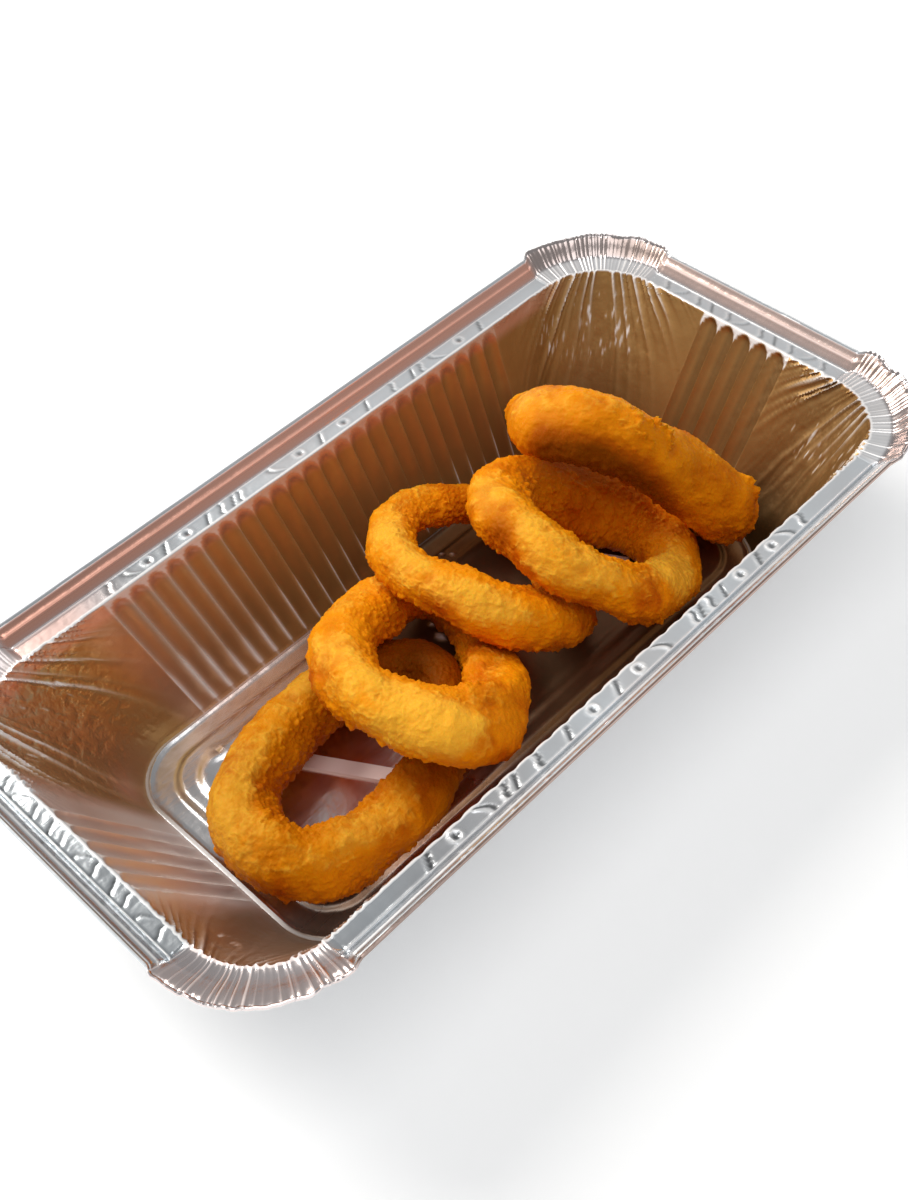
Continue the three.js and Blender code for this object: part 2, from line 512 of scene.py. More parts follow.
@dataclass(frozen=True)
class CrustFinish:
    """Fried crumb crust: golden, cream where it is thin and where light is painted on, orange-brown where
    browned and where shade is painted in.
    """

    gold: Triple = (0.90, 0.295, 0.003)
    cream: Triple = (0.97, 0.46, 0.035)
    # browning, also used as the colour of painted shade
    browning_and_shade: Triple = (0.55, 0.10, 0.001)
    sheen: Triple = (1.0, 0.55, 0.1)
    roughness: float = 0.5
    fleck: float = 0.7  # how much the paleness varies from fleck to fleck
    glow: Triple = (1.0, 0.4, 0.1)  # how far each colour of light goes into the crust
    glow_share: float = 0.3
    glow_depth: float = 0.002  # in metres
    coarse: Grain = Grain(1300, 3, 0.0004, 0.4)
    crumb_scale: float = 1900  # crumbs to a metre
    crumb_depth: float = 0.0002
    crumb_strength: float = 0.3

    def build(self) -> Material:
        """Make the material.

        Returns:
            The crust, which reads three attributes: pale, partly painted light, and crevice_shade and shade,
                both painted shade.
        """
        nodes = Nodes("fried_crust")
        tone = nodes.mix(nodes.ramp(nodes.noise(85, 2), 0.48, 0.75), self.gold, self.browning_and_shade)
        fleck = nodes.math("MULTIPLY_ADD", nodes.noise(480, 3), self.fleck, -self.fleck / 2)
        pale = nodes.math("ADD", nodes.attribute("pale"), fleck)
        tone = nodes.mix(nodes.ramp(pale, 0.3, 1.0), tone, self.cream)
        # painted shade in the crevices, the hole, underneath and at darker spots
        tone = nodes.mix(nodes.math("MULTIPLY", nodes.attribute("crevice_shade"), 0.9), tone, self.browning_and_shade)
        crumbs = nodes.node("TexVoronoi", Scale=self.crumb_scale, Vector=nodes.object).outputs["Distance"]
        nodes.finish(
            Base_Color=nodes.mix(1.0, tone, nodes.attribute("shade"), "MULTIPLY"),
            Roughness=self.roughness, Subsurface_Weight=self.glow_share, Subsurface_Radius=self.glow,
            Subsurface_Scale=self.glow_depth, Specular_IOR_Level=0.2, Specular_Tint=self.sheen,
            Normal=nodes.bump(crumbs, self.crumb_depth, self.crumb_strength, nodes.grain(self.coarse)),
        )
        return nodes.material


@dataclass(frozen=True)
class TableFinish:
    """Plain pale table that glows faintly, which lightens the shadows on it."""

    colour: Triple = (0.93, 0.93, 0.93)
    clouded: float = 0.985  # how dark its faint clouds are
    # its own faint glow, though it is no lamp, lightens the shadows on it
    glow: float = 0.25
    roughness: float = 0.85

    def build(self) -> Material:
        """Make the material.

        Returns:
            The table's finish.
        """
        nodes = Nodes("pale_table")
        clouds = tuple(self.clouded * c for c in self.colour)
        nodes.finish(
            Base_Color=nodes.mix(nodes.noise(3, 2), self.colour, clouds),
            Emission_Color=self.colour, Emission_Strength=self.glow, Roughness=self.roughness,
            Specular_IOR_Level=0.2,
        )
        return nodes.material


# ---------- the foil tray ----------


class Mark(Enum):
    """Small pressed marks along the ledge."""

    DIMPLE = "dimple"
    ARCH = "arch"
    SLASH = "slash"
    CURL = "curl"


class Wall(IntEnum):
    """The tray's four walls, anticlockwise from above."""

    RIGHT = 0
    FAR = 1
    LEFT = 2
    NEAR = 3


@dataclass(frozen=True)
class Zone:
    """A part of the tray, by where it begins and where it is full, along X and across in Y."""

    along: Span = EVERYWHERE
    across: Span = EVERYWHERE

    def share(self, x: Array, y: Array) -> Array:
        """How far each place lies within the zone, from 0 to 1."""
        return smoothstep(x, *self.along) * smoothstep(y, *self.across)


# zones of the walls
RIGHT_END = Zone((72, 92))
RIGHT_PART = Zone((55, 80))
NEAR_RIGHT = Zone((78, 90), (-12, -30))
LEFT_END = Zone((-72, -92), (-24, -13))
LEFT_HALF = Zone((-10, -40))
NEAR_LEFT = Zone((-72, -92), (-13, -24))
BROWN_LEFT = Zone((-62, -80), (18, 30))
FAR_LEFT = Zone((-40, -70), (15, 40))
FAR_WALL = Zone(across=(30, 44))
FAR_STRIP = Zone(across=(40, 46))
FAR_CREASE_GLINTS = Zone(across=(20, 40))
FAR_CREASES = Zone(across=(15, 40))
WARMER = Zone((-75, -10))
DULLER = Zone((-75, -45))
# zones of the rim
FAR_RIM = Zone(across=(38, 46))
NEAR_LIP = Zone(across=(-40, -46))
FAR_LEFT_RIM = Zone((-50, -72), (38, 46))
LEFT_RIM = Zone((-94, -100))
RIGHT_RIM = Zone((94, 100))
BRIGHT_RIM = Zone((-75, 0))
STEEP_RIM = Zone((-20, 20))
# zones of the floor
FLOOR_LEFT = Zone((-70, -55))
FLOOR_RIGHT = Zone((45, 75))
FLOOR_CORNER = Zone((-48, -60), (-16, -26))
UNDER_RINGS = Zone((-38, -5))


@dataclass(frozen=True)
class Fineness:
    """How many points an outline has on each of its stretches."""

    flute: int
    gap: int  # plain stretch beside the flutes
    arc: int  # corner


@dataclass(frozen=True)
class Level:
    """One level of the rim's section."""

    climb: float  # share of the wall's height
    out: float  # distance out from the ledge's inner edge
    up: float  # height over the ledge
    matt_and_highlight: float  # how matt and pale the foil is; the pale lines along its folds are painted highlights


@dataclass
class Columns:
    """Places once round the tray, the same for every level of it."""

    flute: Array  # share of the way across a flute, or -1 outside the flutes
    corner: Array  # share of the way round a corner, or -1 on the straights
    wall: Array  # number of the wall, or of the one before the corner
    rim: Array  # place on the ledge's inner edge, X and Y

    def within(self, zone: Zone) -> Array:
        """How far each column lies within a zone, from 0 to 1."""
        return zone.share(self.rim[:, 0], self.rim[:, 1])

    def by_wall(self, values: tuple[Numbers, ...]) -> Array:
        """The value that belongs to each column's wall."""
        return np.choose(self.wall.astype(int), values)

    def spots(self, height: float, wide: float = 1, tall: float = 1) -> Array:
        """Places at one height for a noise pattern, with bumps that wide and that tall."""
        return np.column_stack([self.rim / wide, np.full(len(self.rim), height / tall)])


@dataclass
class Gather:
    """How the foil is gathered in pleats round the corners, for each column."""

    share: Array  # 1 in the corners, 0 on the straights
    pleat: Array  # 1 on a pleat's crest, 0 between pleats
    strong: Array  # strength of the pleat
    lumps: Array  # unevenness of the bead
    edge: Array  # 1 where a corner starts or ends


@dataclass
class FoilTray:
    """The pressed tray: fluted walls, floor with a raised panel, ledge, flange and bead."""

    half_length: float = 100.0
    half_width: float = 46.7
    rim_corner: float = 18.2
    ledge_height: float = 38.2
    end_draft: float = 23.7
    side_draft: float = 12.6
    floor_corner: float = 13.8
    skin: float = 0.6
    thickness: float = 0.35
    smooth_angle: float = 38.0
    # flutes
    pitch: float = 5.1
    long_flutes: int = 24
    end_flutes: int = 5
    flute_depth: float = 0.95
    converge: float = 0.92
    skew: float = 4.5
    right_shift: float = -2.6  # how far the right end's flutes stand off its middle
    arch_rise: float = 2.6
    arch_drop: tuple[float, ...] = (0.2, 0.8, -0.6, -0.8)  # from the ledge to the flutes' tops
    arch_fade: tuple[float, ...] = (1.2, 3.2, 2.0, 2.0)
    arch_highlight: tuple[float, ...] = (0.95, 0.5, 0.6, 0.5)  # how white the foil is painted over the arches: a painted highlight
    # creases at the corners
    crease_reach: float = 24.0
    crease_width: float = 2.1
    # floor
    foot_width: float = 5.6
    panel_step: float = 1.5
    panel_rise: float = 1.0
    ridge_inset: float = 9.8
    foot_bead_inset: float = 0.9
    dimple_at: Span = (57.3, 22.7)
    folds: tuple[Triple, ...] = (  # folds pinched up in the floor, painted pale as glints: X, Y and reach
        (0.7, 8.3, 1.9), (1.9, 12.4, 0.9), (21.7, 24.8, 0.9), (19.9, 26.9, 0.8), (63.5, 31.6, 1.0),
        (-55.6, 20.2, 1.1), (-57.9, 17.2, 1.2),
    )
    bar_size: Span = (15.0, 2.1)  # half length and half width
    bar_middle: Span = (40.6, 2.5)
    bar_rise: float = 0.75
    bar_heading: Span = (8.9, -15.0)
    # the bar is painted pale and pink: a painted highlight and painted reflection
    bar_scuff_and_glint: float = 1.3
    bar_pink_reflection: float = 0.36
    # ledge and flange
    mark_line: float = 2.45  # middle of the pressed marks, out from the ledge's inner edge
    long_marks: tuple[float, ...] = (
        -58.8, -51.6, -43.7, -38.8, -35.0, -29.2, -19.6, -12.1, -4.6, 2.0, 9.3, 19.5, 22.5, 25.0,
        30.0, 35.9, 42.2, 47.0, 51.8, 57.0,
    )
    end_marks: int = 11
    pleats: tuple[int, int] = (25, 33)  # round the near left corner, and round each other one
    rim_split: float = 0.976  # share of the wall's height at which the rim piece starts
    ledge_end: float = 4.6  # where the flange's piece starts, out from the ledge's inner edge
    bead_start: float = 8.3
    # fineness
    floor_mesh: Fineness = Fineness(8, 8, 24)
    wall_mesh: Fineness = Fineness(7, 26, 80)
    rim_mesh: Fineness = Fineness(13, 32, 172)
    bar_mesh: tuple[int, int] = (90, 14)
    # finishes
    outside: dict[str, float] = field(  # looks of the foil's outer face, which mirrors no food
        default_factory=lambda: {"reflected_warmth": 0.08, "scuff_and_glint": 0.15, "pink_reflection": 0.03, "shade": 0.95, "dull_brown_reflection": 0.0}
    )
    finish: FoilFinish = FoilFinish()
    wall_finish: FoilFinish = FoilFinish(name="satin_foil", roughness=0.23, metallic=0.9)

    # ----- outlines -----

    def outline(self, size: Triple, climb: float, mesh: Fineness, even: bool = False) -> dict[str, Array]:
        """The tray's outline at one level, anticlockwise from above, without flutes or pleats.

        Args:
            size: half length, half width and corner radius.
            climb: share of the wall's height, for the flutes' lean.
            mesh: how many points it has.
            even: space the points evenly over the flutes instead of closer at their crests.

        Returns:
            Arrays by name: x, y, out_x, out_y, flute, corner and wall.
        """
        length, width, radius = size
        keys = ("x", "y", "out_x", "out_y", "flute", "corner", "wall")
        rows: dict[str, list[Array]] = {key: [] for key in keys}
        spread = self.converge + (1 - self.converge) * climb

        def put(x: Array, *others: object) -> None:
            """Store one stretch of the outline."""
            for key, value in zip(keys, (x, *others)):
                rows[key].append(np.broadcast_to(value, x.shape).astype(float))

        for wall in Wall:
            ends = wall in (Wall.RIGHT, Wall.LEFT)
            half = max((width if ends else length) - radius, 0.0)
            reach = length if ends else width
            flutes = self.end_flutes if ends else self.long_flutes
            lean = 0.0 if ends else -self.skew * (1 - climb)
            lean += self.right_shift if wall is Wall.RIGHT else 0.0
            span = flutes * self.pitch / 2
            shrink = min(1.0, half / (span * spread + abs(lean) + 1e-9))
            low, high = (-span * spread + lean) * shrink, (span * spread + lean) * shrink
            step = np.arange(flutes * mesh.flute + 1)
            share = (step % mesh.flute) / mesh.flute
            across = share if even else (1 - np.cos(math.pi * share)) / 2
            place = (step // mesh.flute + across) / flutes
            along = low + (high - low) * place
            ease = np.arange(mesh.gap) / mesh.gap
            along = np.concatenate([-half + (low + half) * ease, along, half + (high - half) * ease[::-1]])
            none = np.full(mesh.gap, -1.0)
            flute = np.concatenate([none, across, none])
            facing = wall * TURN / 4
            cos, sin = round(math.cos(facing)), round(math.sin(facing))
            put(reach * cos - along * sin, reach * sin + along * cos, cos, sin, flute, -1.0, wall)
            share = np.arange(1, mesh.arc) / mesh.arc
            angle = facing + share * TURN / 4
            sign_x, sign_y = ((1, 1), (-1, 1), (-1, -1), (1, -1))[wall]
            put(
                sign_x * max(length - radius, 0) + radius * np.cos(angle),
                sign_y * max(width - radius, 0) + radius * np.sin(angle),
                np.cos(angle), np.sin(angle), -1.0, share, wall,
            )
        return {key: np.concatenate(value) for key, value in rows.items()}

    @staticmethod
    def shifted(line: dict[str, Array], out: Array, z: Array) -> Array:
        """Points of an outline moved outwards, at heights of their own."""
        return np.column_stack([line["x"] + line["out_x"] * out, line["y"] + line["out_y"] * out, z])

    def wall_size(self, climb: float) -> Triple:
        """The size of the wall's outline at one level.

        Args:
            climb: share of the wall's height.

        Returns:
            Half length, half width and corner radius.
        """
        return (
            self.half_length - self.end_draft * (1 - climb),
            self.half_width - self.side_draft * (1 - climb),
            self.rim_corner - (self.rim_corner - self.floor_corner) * (1 - climb),
        )

    def height_at(self, climb: float) -> float:
        """Height over the table at a share of the wall's height."""
        return self.skin + (self.ledge_height - self.skin) * climb

    def columns(self, mesh: Fineness) -> Columns:
        """The places once round the tray for a piece of a given fineness."""
        line = self.outline(self.wall_size(1), 1, mesh)
        return Columns(line["flute"], line["corner"], line["wall"], np.stack([line["x"], line["y"]], 1))

    def near_corner(self, columns: Columns, reach: float) -> Array:
        """How near each column is to a corner.

        Args:
            columns: the places round the tray.
            reach: how far along the straights the corner is felt.

        Returns:
            1 in the corners, falling to 0 that far from them.
        """
        x, y = np.abs(columns.rim).T
        long = np.isin(columns.wall, (Wall.FAR, Wall.NEAR))
        away = np.where(long, self.half_length - self.rim_corner - x, self.half_width - self.rim_corner - y)
        away = np.where(columns.corner >= 0, 0, np.maximum(away, 0))
        return smoothstep(away, reach, 0)

    # ----- walls -----

    def wall_relief(self, columns: Columns, climb: float, height: float) -> Array:
        """How far the wall stands outwards at one level: flutes, creases and soft dents.

        Args:
            columns: the places round the tray.
            climb: share of the wall's height.
            height: the level's height.

        Returns:
            Outward shift of each place.
        """
        scoop = np.where(columns.flute >= 0, self.bow(columns) ** 0.8, 0)
        below_arch = (self.arch_top(columns) - height) / columns.by_wall(self.arch_fade)
        fade = smoothstep(below_arch, 0.0, 1.0) * smoothstep(height, self.skin + 0.3, self.skin + 4.5)
        relief = self.flute_depth * scoop * fade
        where = columns.spots(height)
        creased = self.near_corner(columns, self.crease_reach)
        spread = self.fan(columns, height)
        fold = self.fold(spread)
        fine = self.fold(spread * (1.8, 1, 1), Seed.FINE_FOLDS)
        patchy = smoothstep(noise(where / 12, Seed.PATCHES), -0.3, 0.5)
        wide = np.maximum(columns.within(RIGHT_PART), columns.within(FAR_CREASES))
        depth = (0.6 + 0.2 * wide) * np.exp((height - self.ledge_height) / (9 + 4 * wide)) + 0.1 * patchy
        relief -= creased * (1.1 * fold + 0.5 * fine - 0.3) * depth
        bent = where + 0.8 * noise(where / 2.0, Seed.BENT)[:, None]
        crossed = 1 - np.abs(noise(bent / (2.2, 2.2, 1.7), Seed.CROSSED))
        relief += creased * (0.06 + 0.2 * patchy * bell(height - 24, 9)) * crossed**4
        relief += 0.16 * noise(where / 16, Seed.DENTS) + 0.07 * noise(where / 5, Seed.RIPPLES)
        return relief * smoothstep(climb, 0, 0.04)

    @staticmethod
    def bow(columns: Columns) -> Array:
        """1 along a flute's middle, falling in a bow to 0 at its crests."""
        return np.clip(1 - (2 * columns.flute - 1) ** 2, 0, 1)

    def arch_top(self, columns: Columns) -> Array:
        """Height at which each flute ends in its arch."""
        drop = np.where(columns.flute >= 0, (1 - self.bow(columns) ** 0.8) * self.arch_rise, self.arch_rise)
        return self.ledge_height - columns.by_wall(self.arch_drop) - drop

    def fan(self, columns: Columns, height: float) -> Array:
        """Places in the creases' pattern, which is close at a corner of the ledge and fans out below.

        Args:
            columns: the places round the tray.
            height: the level's height.

        Returns:
            Three numbers to a place: crease across, corner, and height.
        """
        x, y = columns.rim.T
        ends = np.isin(columns.wall, (Wall.RIGHT, Wall.LEFT))
        half = np.where(ends, self.half_width, self.half_length) - self.rim_corner
        along = columns.by_wall((y, -x, -y, x))
        half_arc = self.rim_corner * TURN / 8
        off = np.where(along > 0, along - half - half_arc, along + half + half_arc)
        off = np.where(columns.corner >= 0, (2 * columns.corner - 1) * half_arc, off)
        corner = (columns.wall - ((columns.corner < 0) & (along <= 0))) % len(Wall)
        sway = 0.7 * noise(columns.spots(height, 9, 11), Seed.FAN_SWAY)
        across = (off + sway) / (1 + (self.ledge_height - height) / 15)
        return np.column_stack([across / self.crease_width, corner * 9.7, np.full(len(x), height / 40)])

    @staticmethod
    def fold(spread: Array, seed: int = Seed.FOLDS) -> Array:
        """How near each place is to the crest of a crease that runs down the wall.

        Args:
            spread: places in the creases' pattern.
            seed: which of the many patterns.

        Returns:
            1 on the crest of a strong crease, 0 away from all of them.
        """
        beat = spread[:, 0] + 0.35 * noise(spread * (0.7, 1, 2), seed + FOLD_SWAY)
        own = noise(np.column_stack([np.floor(beat + 0.5) + 0.5, spread[:, 1], beat * 0]) * 1.37, seed)
        return np.abs(np.cos(math.pi * beat)) ** 5 * smoothstep(own, -0.45, 0.35)

    def wall_scuff_and_glints(self, columns: Columns, height: float) -> Array:
        """How matt and pale the wall is, with painted highlights: flutes' crests near the floor, arches,
        creases and glints.

        Args:
            columns: the places round the tray.
            height: the level's height.

        Returns:
            One number from 0 to 1 for each place.
        """
        left, far_left = columns.within(LEFT_HALF), columns.within(FAR_LEFT)
        # painted highlight lines on the flutes' crests near the floor
        crest = np.where(columns.flute >= 0, np.abs(2 * columns.flute - 1) ** (10 - 7.8 * left), 0)
        wander = 4 * noise(np.column_stack([columns.rim / 4.6, columns.wall * 7]), Seed.SCUFF_EDGE)
        low = smoothstep(height - wander, 18.0 + 4 * left, 6.0 + 2 * left) * smoothstep(height, 0.7, 2.2)
        low = np.maximum(low, 0.22 + 0.33 * left) * (1 - 0.6 * columns.within(RIGHT_END))
        # painted highlight over the flutes' arches
        arch = smoothstep(height - self.arch_top(columns), -0.4, 0.4) * smoothstep(columns.flute, -0.5, 0.0)
        arch = arch * columns.by_wall(self.arch_highlight) * (1 + 0.5 * left)
        # painted highlights along the creases' crests near the corners
        wide = np.maximum(columns.within(RIGHT_PART), columns.within(FAR_CREASE_GLINTS))
        fade = np.exp((height - self.ledge_height) / (8 + 4 * wide + 6 * far_left))
        creased = self.near_corner(columns, self.crease_reach) * fade * self.fold(self.fan(columns, height))
        creased *= 1 + 0.7 * far_left
        # painted glints high in the corners
        fill = (0.2 + 0.16 * columns.within(RIGHT_PART)) * self.near_corner(columns, 6) * bell(height - 27, 9)
        glint, tone = grains(columns.spots(height, 0.6, 2.2), Seed.GLINTS, fill)
        glint = np.minimum(6 * glint * tone, 0.6)
        return np.clip(np.maximum(crest * low, arch) + 0.9 * creased + glint, 0, 1)

    def wall_looks(self, columns: Columns, height: float) -> dict[str, Array]:
        """How the walls' foil looks at one level.

        Args:
            columns: the places round the tray.
            height: the level's height.

        Returns:
            Numbers by attribute: painted reflection, brown at the right end and the far left corner, cool at
                the left
            end, with a pink strip over the far wall's flutes; painted shade in the near corners and at the
            right end.
        """
        right, left, near_left = (columns.within(zone) for zone in (RIGHT_END, LEFT_END, NEAR_LEFT))
        brown_left = columns.within(BROWN_LEFT)
        deep, low = smoothstep(height, 39.0, 24.0), smoothstep(height, 27.0, 8.0)
        # painted reflection: warm and brown from the food, cool at the left end
        side = 0.62 + 0.3 * columns.within(WARMER)
        reflected_warmth = side * (1 - right) * (1 - left) + right * 0.95
        reflected_warmth = reflected_warmth + left * (0.25 + 0.1 * deep) + 0.5 * brown_left
        # dull brown painted reflection on the far wall, the right end and the left corners
        far = columns.within(FAR_WALL) * (1 - right)
        dull_brown_reflection = far * (0.35 + 0.4 * columns.within(DULLER)) + 0.76 * right
        dull_brown_reflection += 0.34 * brown_left * (1 - far) + 0.6 * near_left
        # a pink strip of painted reflection over the far wall's flutes
        strip = columns.within(FAR_STRIP) * smoothstep(height, 33.0, 36.0) * (1 - right)
        scuff_and_glint = self.wall_scuff_and_glints(columns, height)
        # painted shade: the near corners and the right end, deepest low down and on one half of each flute
        # there
        half = np.where(columns.flute > 0.02, smoothstep(columns.flute, 0.56, 0.44), 0) * (1 - 0.7 * low)
        dark = 0.04 * left + near_left * 0.3 + right * (0.12 + 0.34 * low + 0.34 * half)
        dark = dark + 0.24 * columns.within(NEAR_RIGHT)
        # a pink spot of painted reflection low in the far left corner
        far_left = (columns.wall == Wall.FAR) & (columns.corner >= 0)
        spot = np.where(far_left, bell(columns.corner - 0.75, 0.22), 0) * bell(height - 6, 4)
        return {
            "reflected_warmth": reflected_warmth,
            "scuff_and_glint": np.maximum(scuff_and_glint, (0.36 + 0.2 * low) * left * (1 - brown_left)),
            "pink_reflection": (0.6 * strip + 0.5 * spot) * (1 - 0.6 * scuff_and_glint),
            "shade": 1 - dark * (1 - scuff_and_glint),
            "dull_brown_reflection": np.clip(dull_brown_reflection, 0, 1) * (1 - scuff_and_glint),
            "crackle": self.near_corner(columns, 16) * (0.1 + 0.4 * brown_left) * smoothstep(height, 3, 9),
        }

    def build_walls(self, finish: Material) -> Piece:
        """The four leaning walls and their corners, up to just under the ledge.

        Args:
            finish: the foil's material.

        Returns:
            The finished piece.
        """
        columns = self.columns(self.wall_mesh)
        climbs = [0, 0.006, 0.014, 0.024, 0.036, *np.linspace(0.055, 0.82, 33)]
        climbs += [*np.linspace(0.84, self.rim_split, 12)]
        rows, looks = [], []
        for climb in climbs:
            line = self.outline(self.wall_size(climb), climb, self.wall_mesh)
            height = self.height_at(climb)
            out = self.wall_relief(columns, climb, height)
            foot = self.floor_height(line["x"], line["y"]) if climb == 0 else np.zeros(len(out))
            rows.append(self.shifted(line, out, height + foot))
            looks.append(self.wall_looks(columns, height))
        return self.sheet("tray_walls", rows, looks, finish)

    # ----- floor -----

    def floor_height(self, x: Array, y: Array) -> Array:
        """Height of the floor's pressed pattern above the foot band.

        Args:
            x: places along the tray.
            y: places across it.

        Returns:
            One height for each place.
        """
        length, width, radius = self.wall_size(0)

        def inside(inset: float) -> Array:
            """Distance inwards from the edge of a rounded rectangle.

            Args:
                inset: how far the rectangle is set in from the floor's edge.

            Returns:
                One distance for each place.
            """
            corner = max(radius - inset * 0.55, 3)
            dx = np.abs(x) - (length - inset - corner)
            dy = np.abs(y) - (width - inset - corner)
            far = np.hypot(np.maximum(dx, 0), np.maximum(dy, 0)) + np.minimum(np.maximum(dx, dy), 0)
            return corner - far

        rise = self.panel_rise * smoothstep(inside(self.foot_width), 0, self.panel_step)
        ridge = inside(self.ridge_inset)
        rise += 0.45 * smoothstep(ridge, 0, 1.6) * (1 - 0.6 * smoothstep(ridge, 2.4, 4.4))
        rise += 0.35 * bell(inside(self.foot_bead_inset), 0.45)
        for sign, side in itertools.product((-1, 1), repeat=2):
            off = np.hypot(x - sign * self.dimple_at[0], y - side * self.dimple_at[1])
            rise += 0.4 * bell(off - 1.6, 0.55) - 0.35 * bell(off, 0.9)
        where = np.column_stack([x, y, np.zeros(len(x))])
        rise += self.pinch(x, y)
        rise += 0.12 * noise(where / 13, Seed.FLOOR_DENTS)
        return rise + 0.04 * noise(where / 4, Seed.FLOOR_RIPPLES)

    def pinch(self, x: Array, y: Array) -> Array:
        """1 on top of the small folds pinched up in the floor, 0 off them.

        Args:
            x: places along the tray.
            y: places across it.

        Returns:
            One number for each place.
        """
        total = np.zeros(len(x))
        for at_x, at_y, reach in self.folds:
            slant = np.abs(y - at_y + 0.4 * (x - at_x))
            total += np.clip(1 - np.abs(x - at_x) / reach - 0.7 * slant / reach, 0, 1)
        return total

    def floor_looks(self, x: Array, y: Array, scuff_and_glint: float) -> dict[str, Array]:
        """How the floor's foil looks: silver at the left end, dark and brown under the rings with painted
        shade and painted reflection.

        Args:
            x: places along the tray.
            y: places across it.
            scuff_and_glint: how matt and pale the foil is, pale also for painted glints and highlight lines.

        Returns:
            Numbers by attribute.
        """
        # the pinched folds are painted pale and unshaded, as painted glints
        pinch = np.minimum(self.pinch(x, y) * 2, 1)
        corner, under = FLOOR_CORNER.share(x, y), UNDER_RINGS.share(x, y)
        # painted shade: darker under the rings and in the near left corner, lighter at the two ends
        shade = 0.74 + 0.22 * FLOOR_LEFT.share(x, y) - 0.62 * under + 0.4 * FLOOR_RIGHT.share(x, y)
        return {
            "reflected_warmth": 0.16 + 0.14 * smoothstep(x, -62, -45) + 0.6 * smoothstep(x, -32, 5),
            "scuff_and_glint": np.maximum(np.full(len(x), scuff_and_glint), 0.8 * pinch),
            "pink_reflection": 0.2 * smoothstep(x, -60, -40),
            "shade": np.maximum(shade * (1 - 0.45 * corner), pinch),
            "dull_brown_reflection": 0.6 * corner + 0.4 * under * smoothstep(x, 75, 45),
            "crackle": np.zeros(len(x)),
        }

    def build_floor(self, finish: Material) -> Piece:
        """The floor, from its middle line out to the foot of the walls.

        Args:
            finish: the foil's material.

        Returns:
            The finished piece.
        """
        length, width, radius = self.wall_size(0)
        foot = [1.6, 1.25, 0.9, 0.6, 0.3, 0]
        rows, looks = [], []
        for inset in (*np.arange(width, 12.9, -0.6), *np.arange(12.3, 2, -0.62), *foot):
            size = (length - inset, width - inset, max(radius - inset, 0))
            line = self.outline(size, 0, self.floor_mesh, even=True)
            z = self.skin + self.floor_height(line["x"], line["y"])
            rows.append(np.column_stack([line["x"], line["y"], z]))
            # a pale line along the floor's edge: a painted highlight
            looks.append(self.floor_looks(line["x"], line["y"], 0.9 * bell(inset - 0.45, 0.3)))
        return self.sheet("tray_floor", rows, looks, finish)

    def build_bar(self, finish: Material, sign: int) -> Piece:
        """One slanting bar pressed up in the floor.

        Args:
            finish: the foil's material.
            sign: -1 for the bar at the left end, 1 for the one at the right.

        Returns:
            The finished piece.
        """
        middle = sign * np.array(self.bar_middle)
        heading = np.array(self.bar_heading) / math.hypot(*self.bar_heading)
        along, across = (
            np.array([-half, *np.linspace(-half + 0.25, half - 0.25, count), half])
            for half, count in zip(self.bar_size, self.bar_mesh)
        )
        rows, looks = [], []
        for place in across:
            x = middle[0] + heading[0] * along - heading[1] * place
            y = middle[1] + heading[1] * along + heading[0] * place
            top = (np.abs(along) < self.bar_size[0]) & (abs(place) < self.bar_size[1])
            z = self.skin + self.floor_height(x, y) + np.where(top, self.bar_rise, -0.1)
            rows.append(np.column_stack([x, y, z]))
            # the bar gets none of the floor's painted shade
            look = self.floor_looks(x, y, self.bar_scuff_and_glint)
            look["shade"] = np.ones(len(x))
            look["pink_reflection"] = np.full(len(x), self.bar_pink_reflection)
            looks.append(look)
        return self.sheet(f"tray_bar_{'left' if sign < 0 else 'right'}", rows, looks, finish, False)

    # ----- rim -----

    def profile(self) -> list[Level]:
        """The rim's section.

        Returns:
            Its levels, from the top of the wall over ledge and flange to the bead's underside.
        """
        steps = [
            (self.rim_split, 0, 0, 0), (0.986, 0, 0, 0), (0.994, 0.03, 0.0, 0.1), (1, 0.1, -0.02, 0.5),
            (1, 0.24, 0.06, 0.9), (1, 0.42, 0.1, 1), (1, 0.62, 0.1, 0.6),
        ]
        steps += [(1, out, 0.1, 0.0) for out in np.arange(0.86, 3.9, 0.34)]
        flange = (
            (4.0, 0.12, 0.1), (4.2, 0.26, 0.7), (4.4, 0.2, 0.6), (self.ledge_end, -0.08, 0), (4.8, -0.06, 0),
            (5.05, 0.3, 0), (5.6, 0.95, 0.05), (6.15, 1.55, 0.05), (6.35, 1.86, 0.6), (6.6, 1.94, 0.8),
            (6.85, 2.0, 0.2), (7.4, 2.5, 0), (7.85, 2.95, 0.1), (8.0, 3.25, 0.7), (8.2, 3.3, 0.3),
            (8.35, 3.5, 0), (8.6, 3.72, 0.5), (8.85, 3.62, 0.3), (9.0, 3.35, 0), (9.02, 3.05, 0),
            (8.8, 2.75, 0),
        )
        return [Level(*step) for step in steps] + [Level(1, *step) for step in flange]

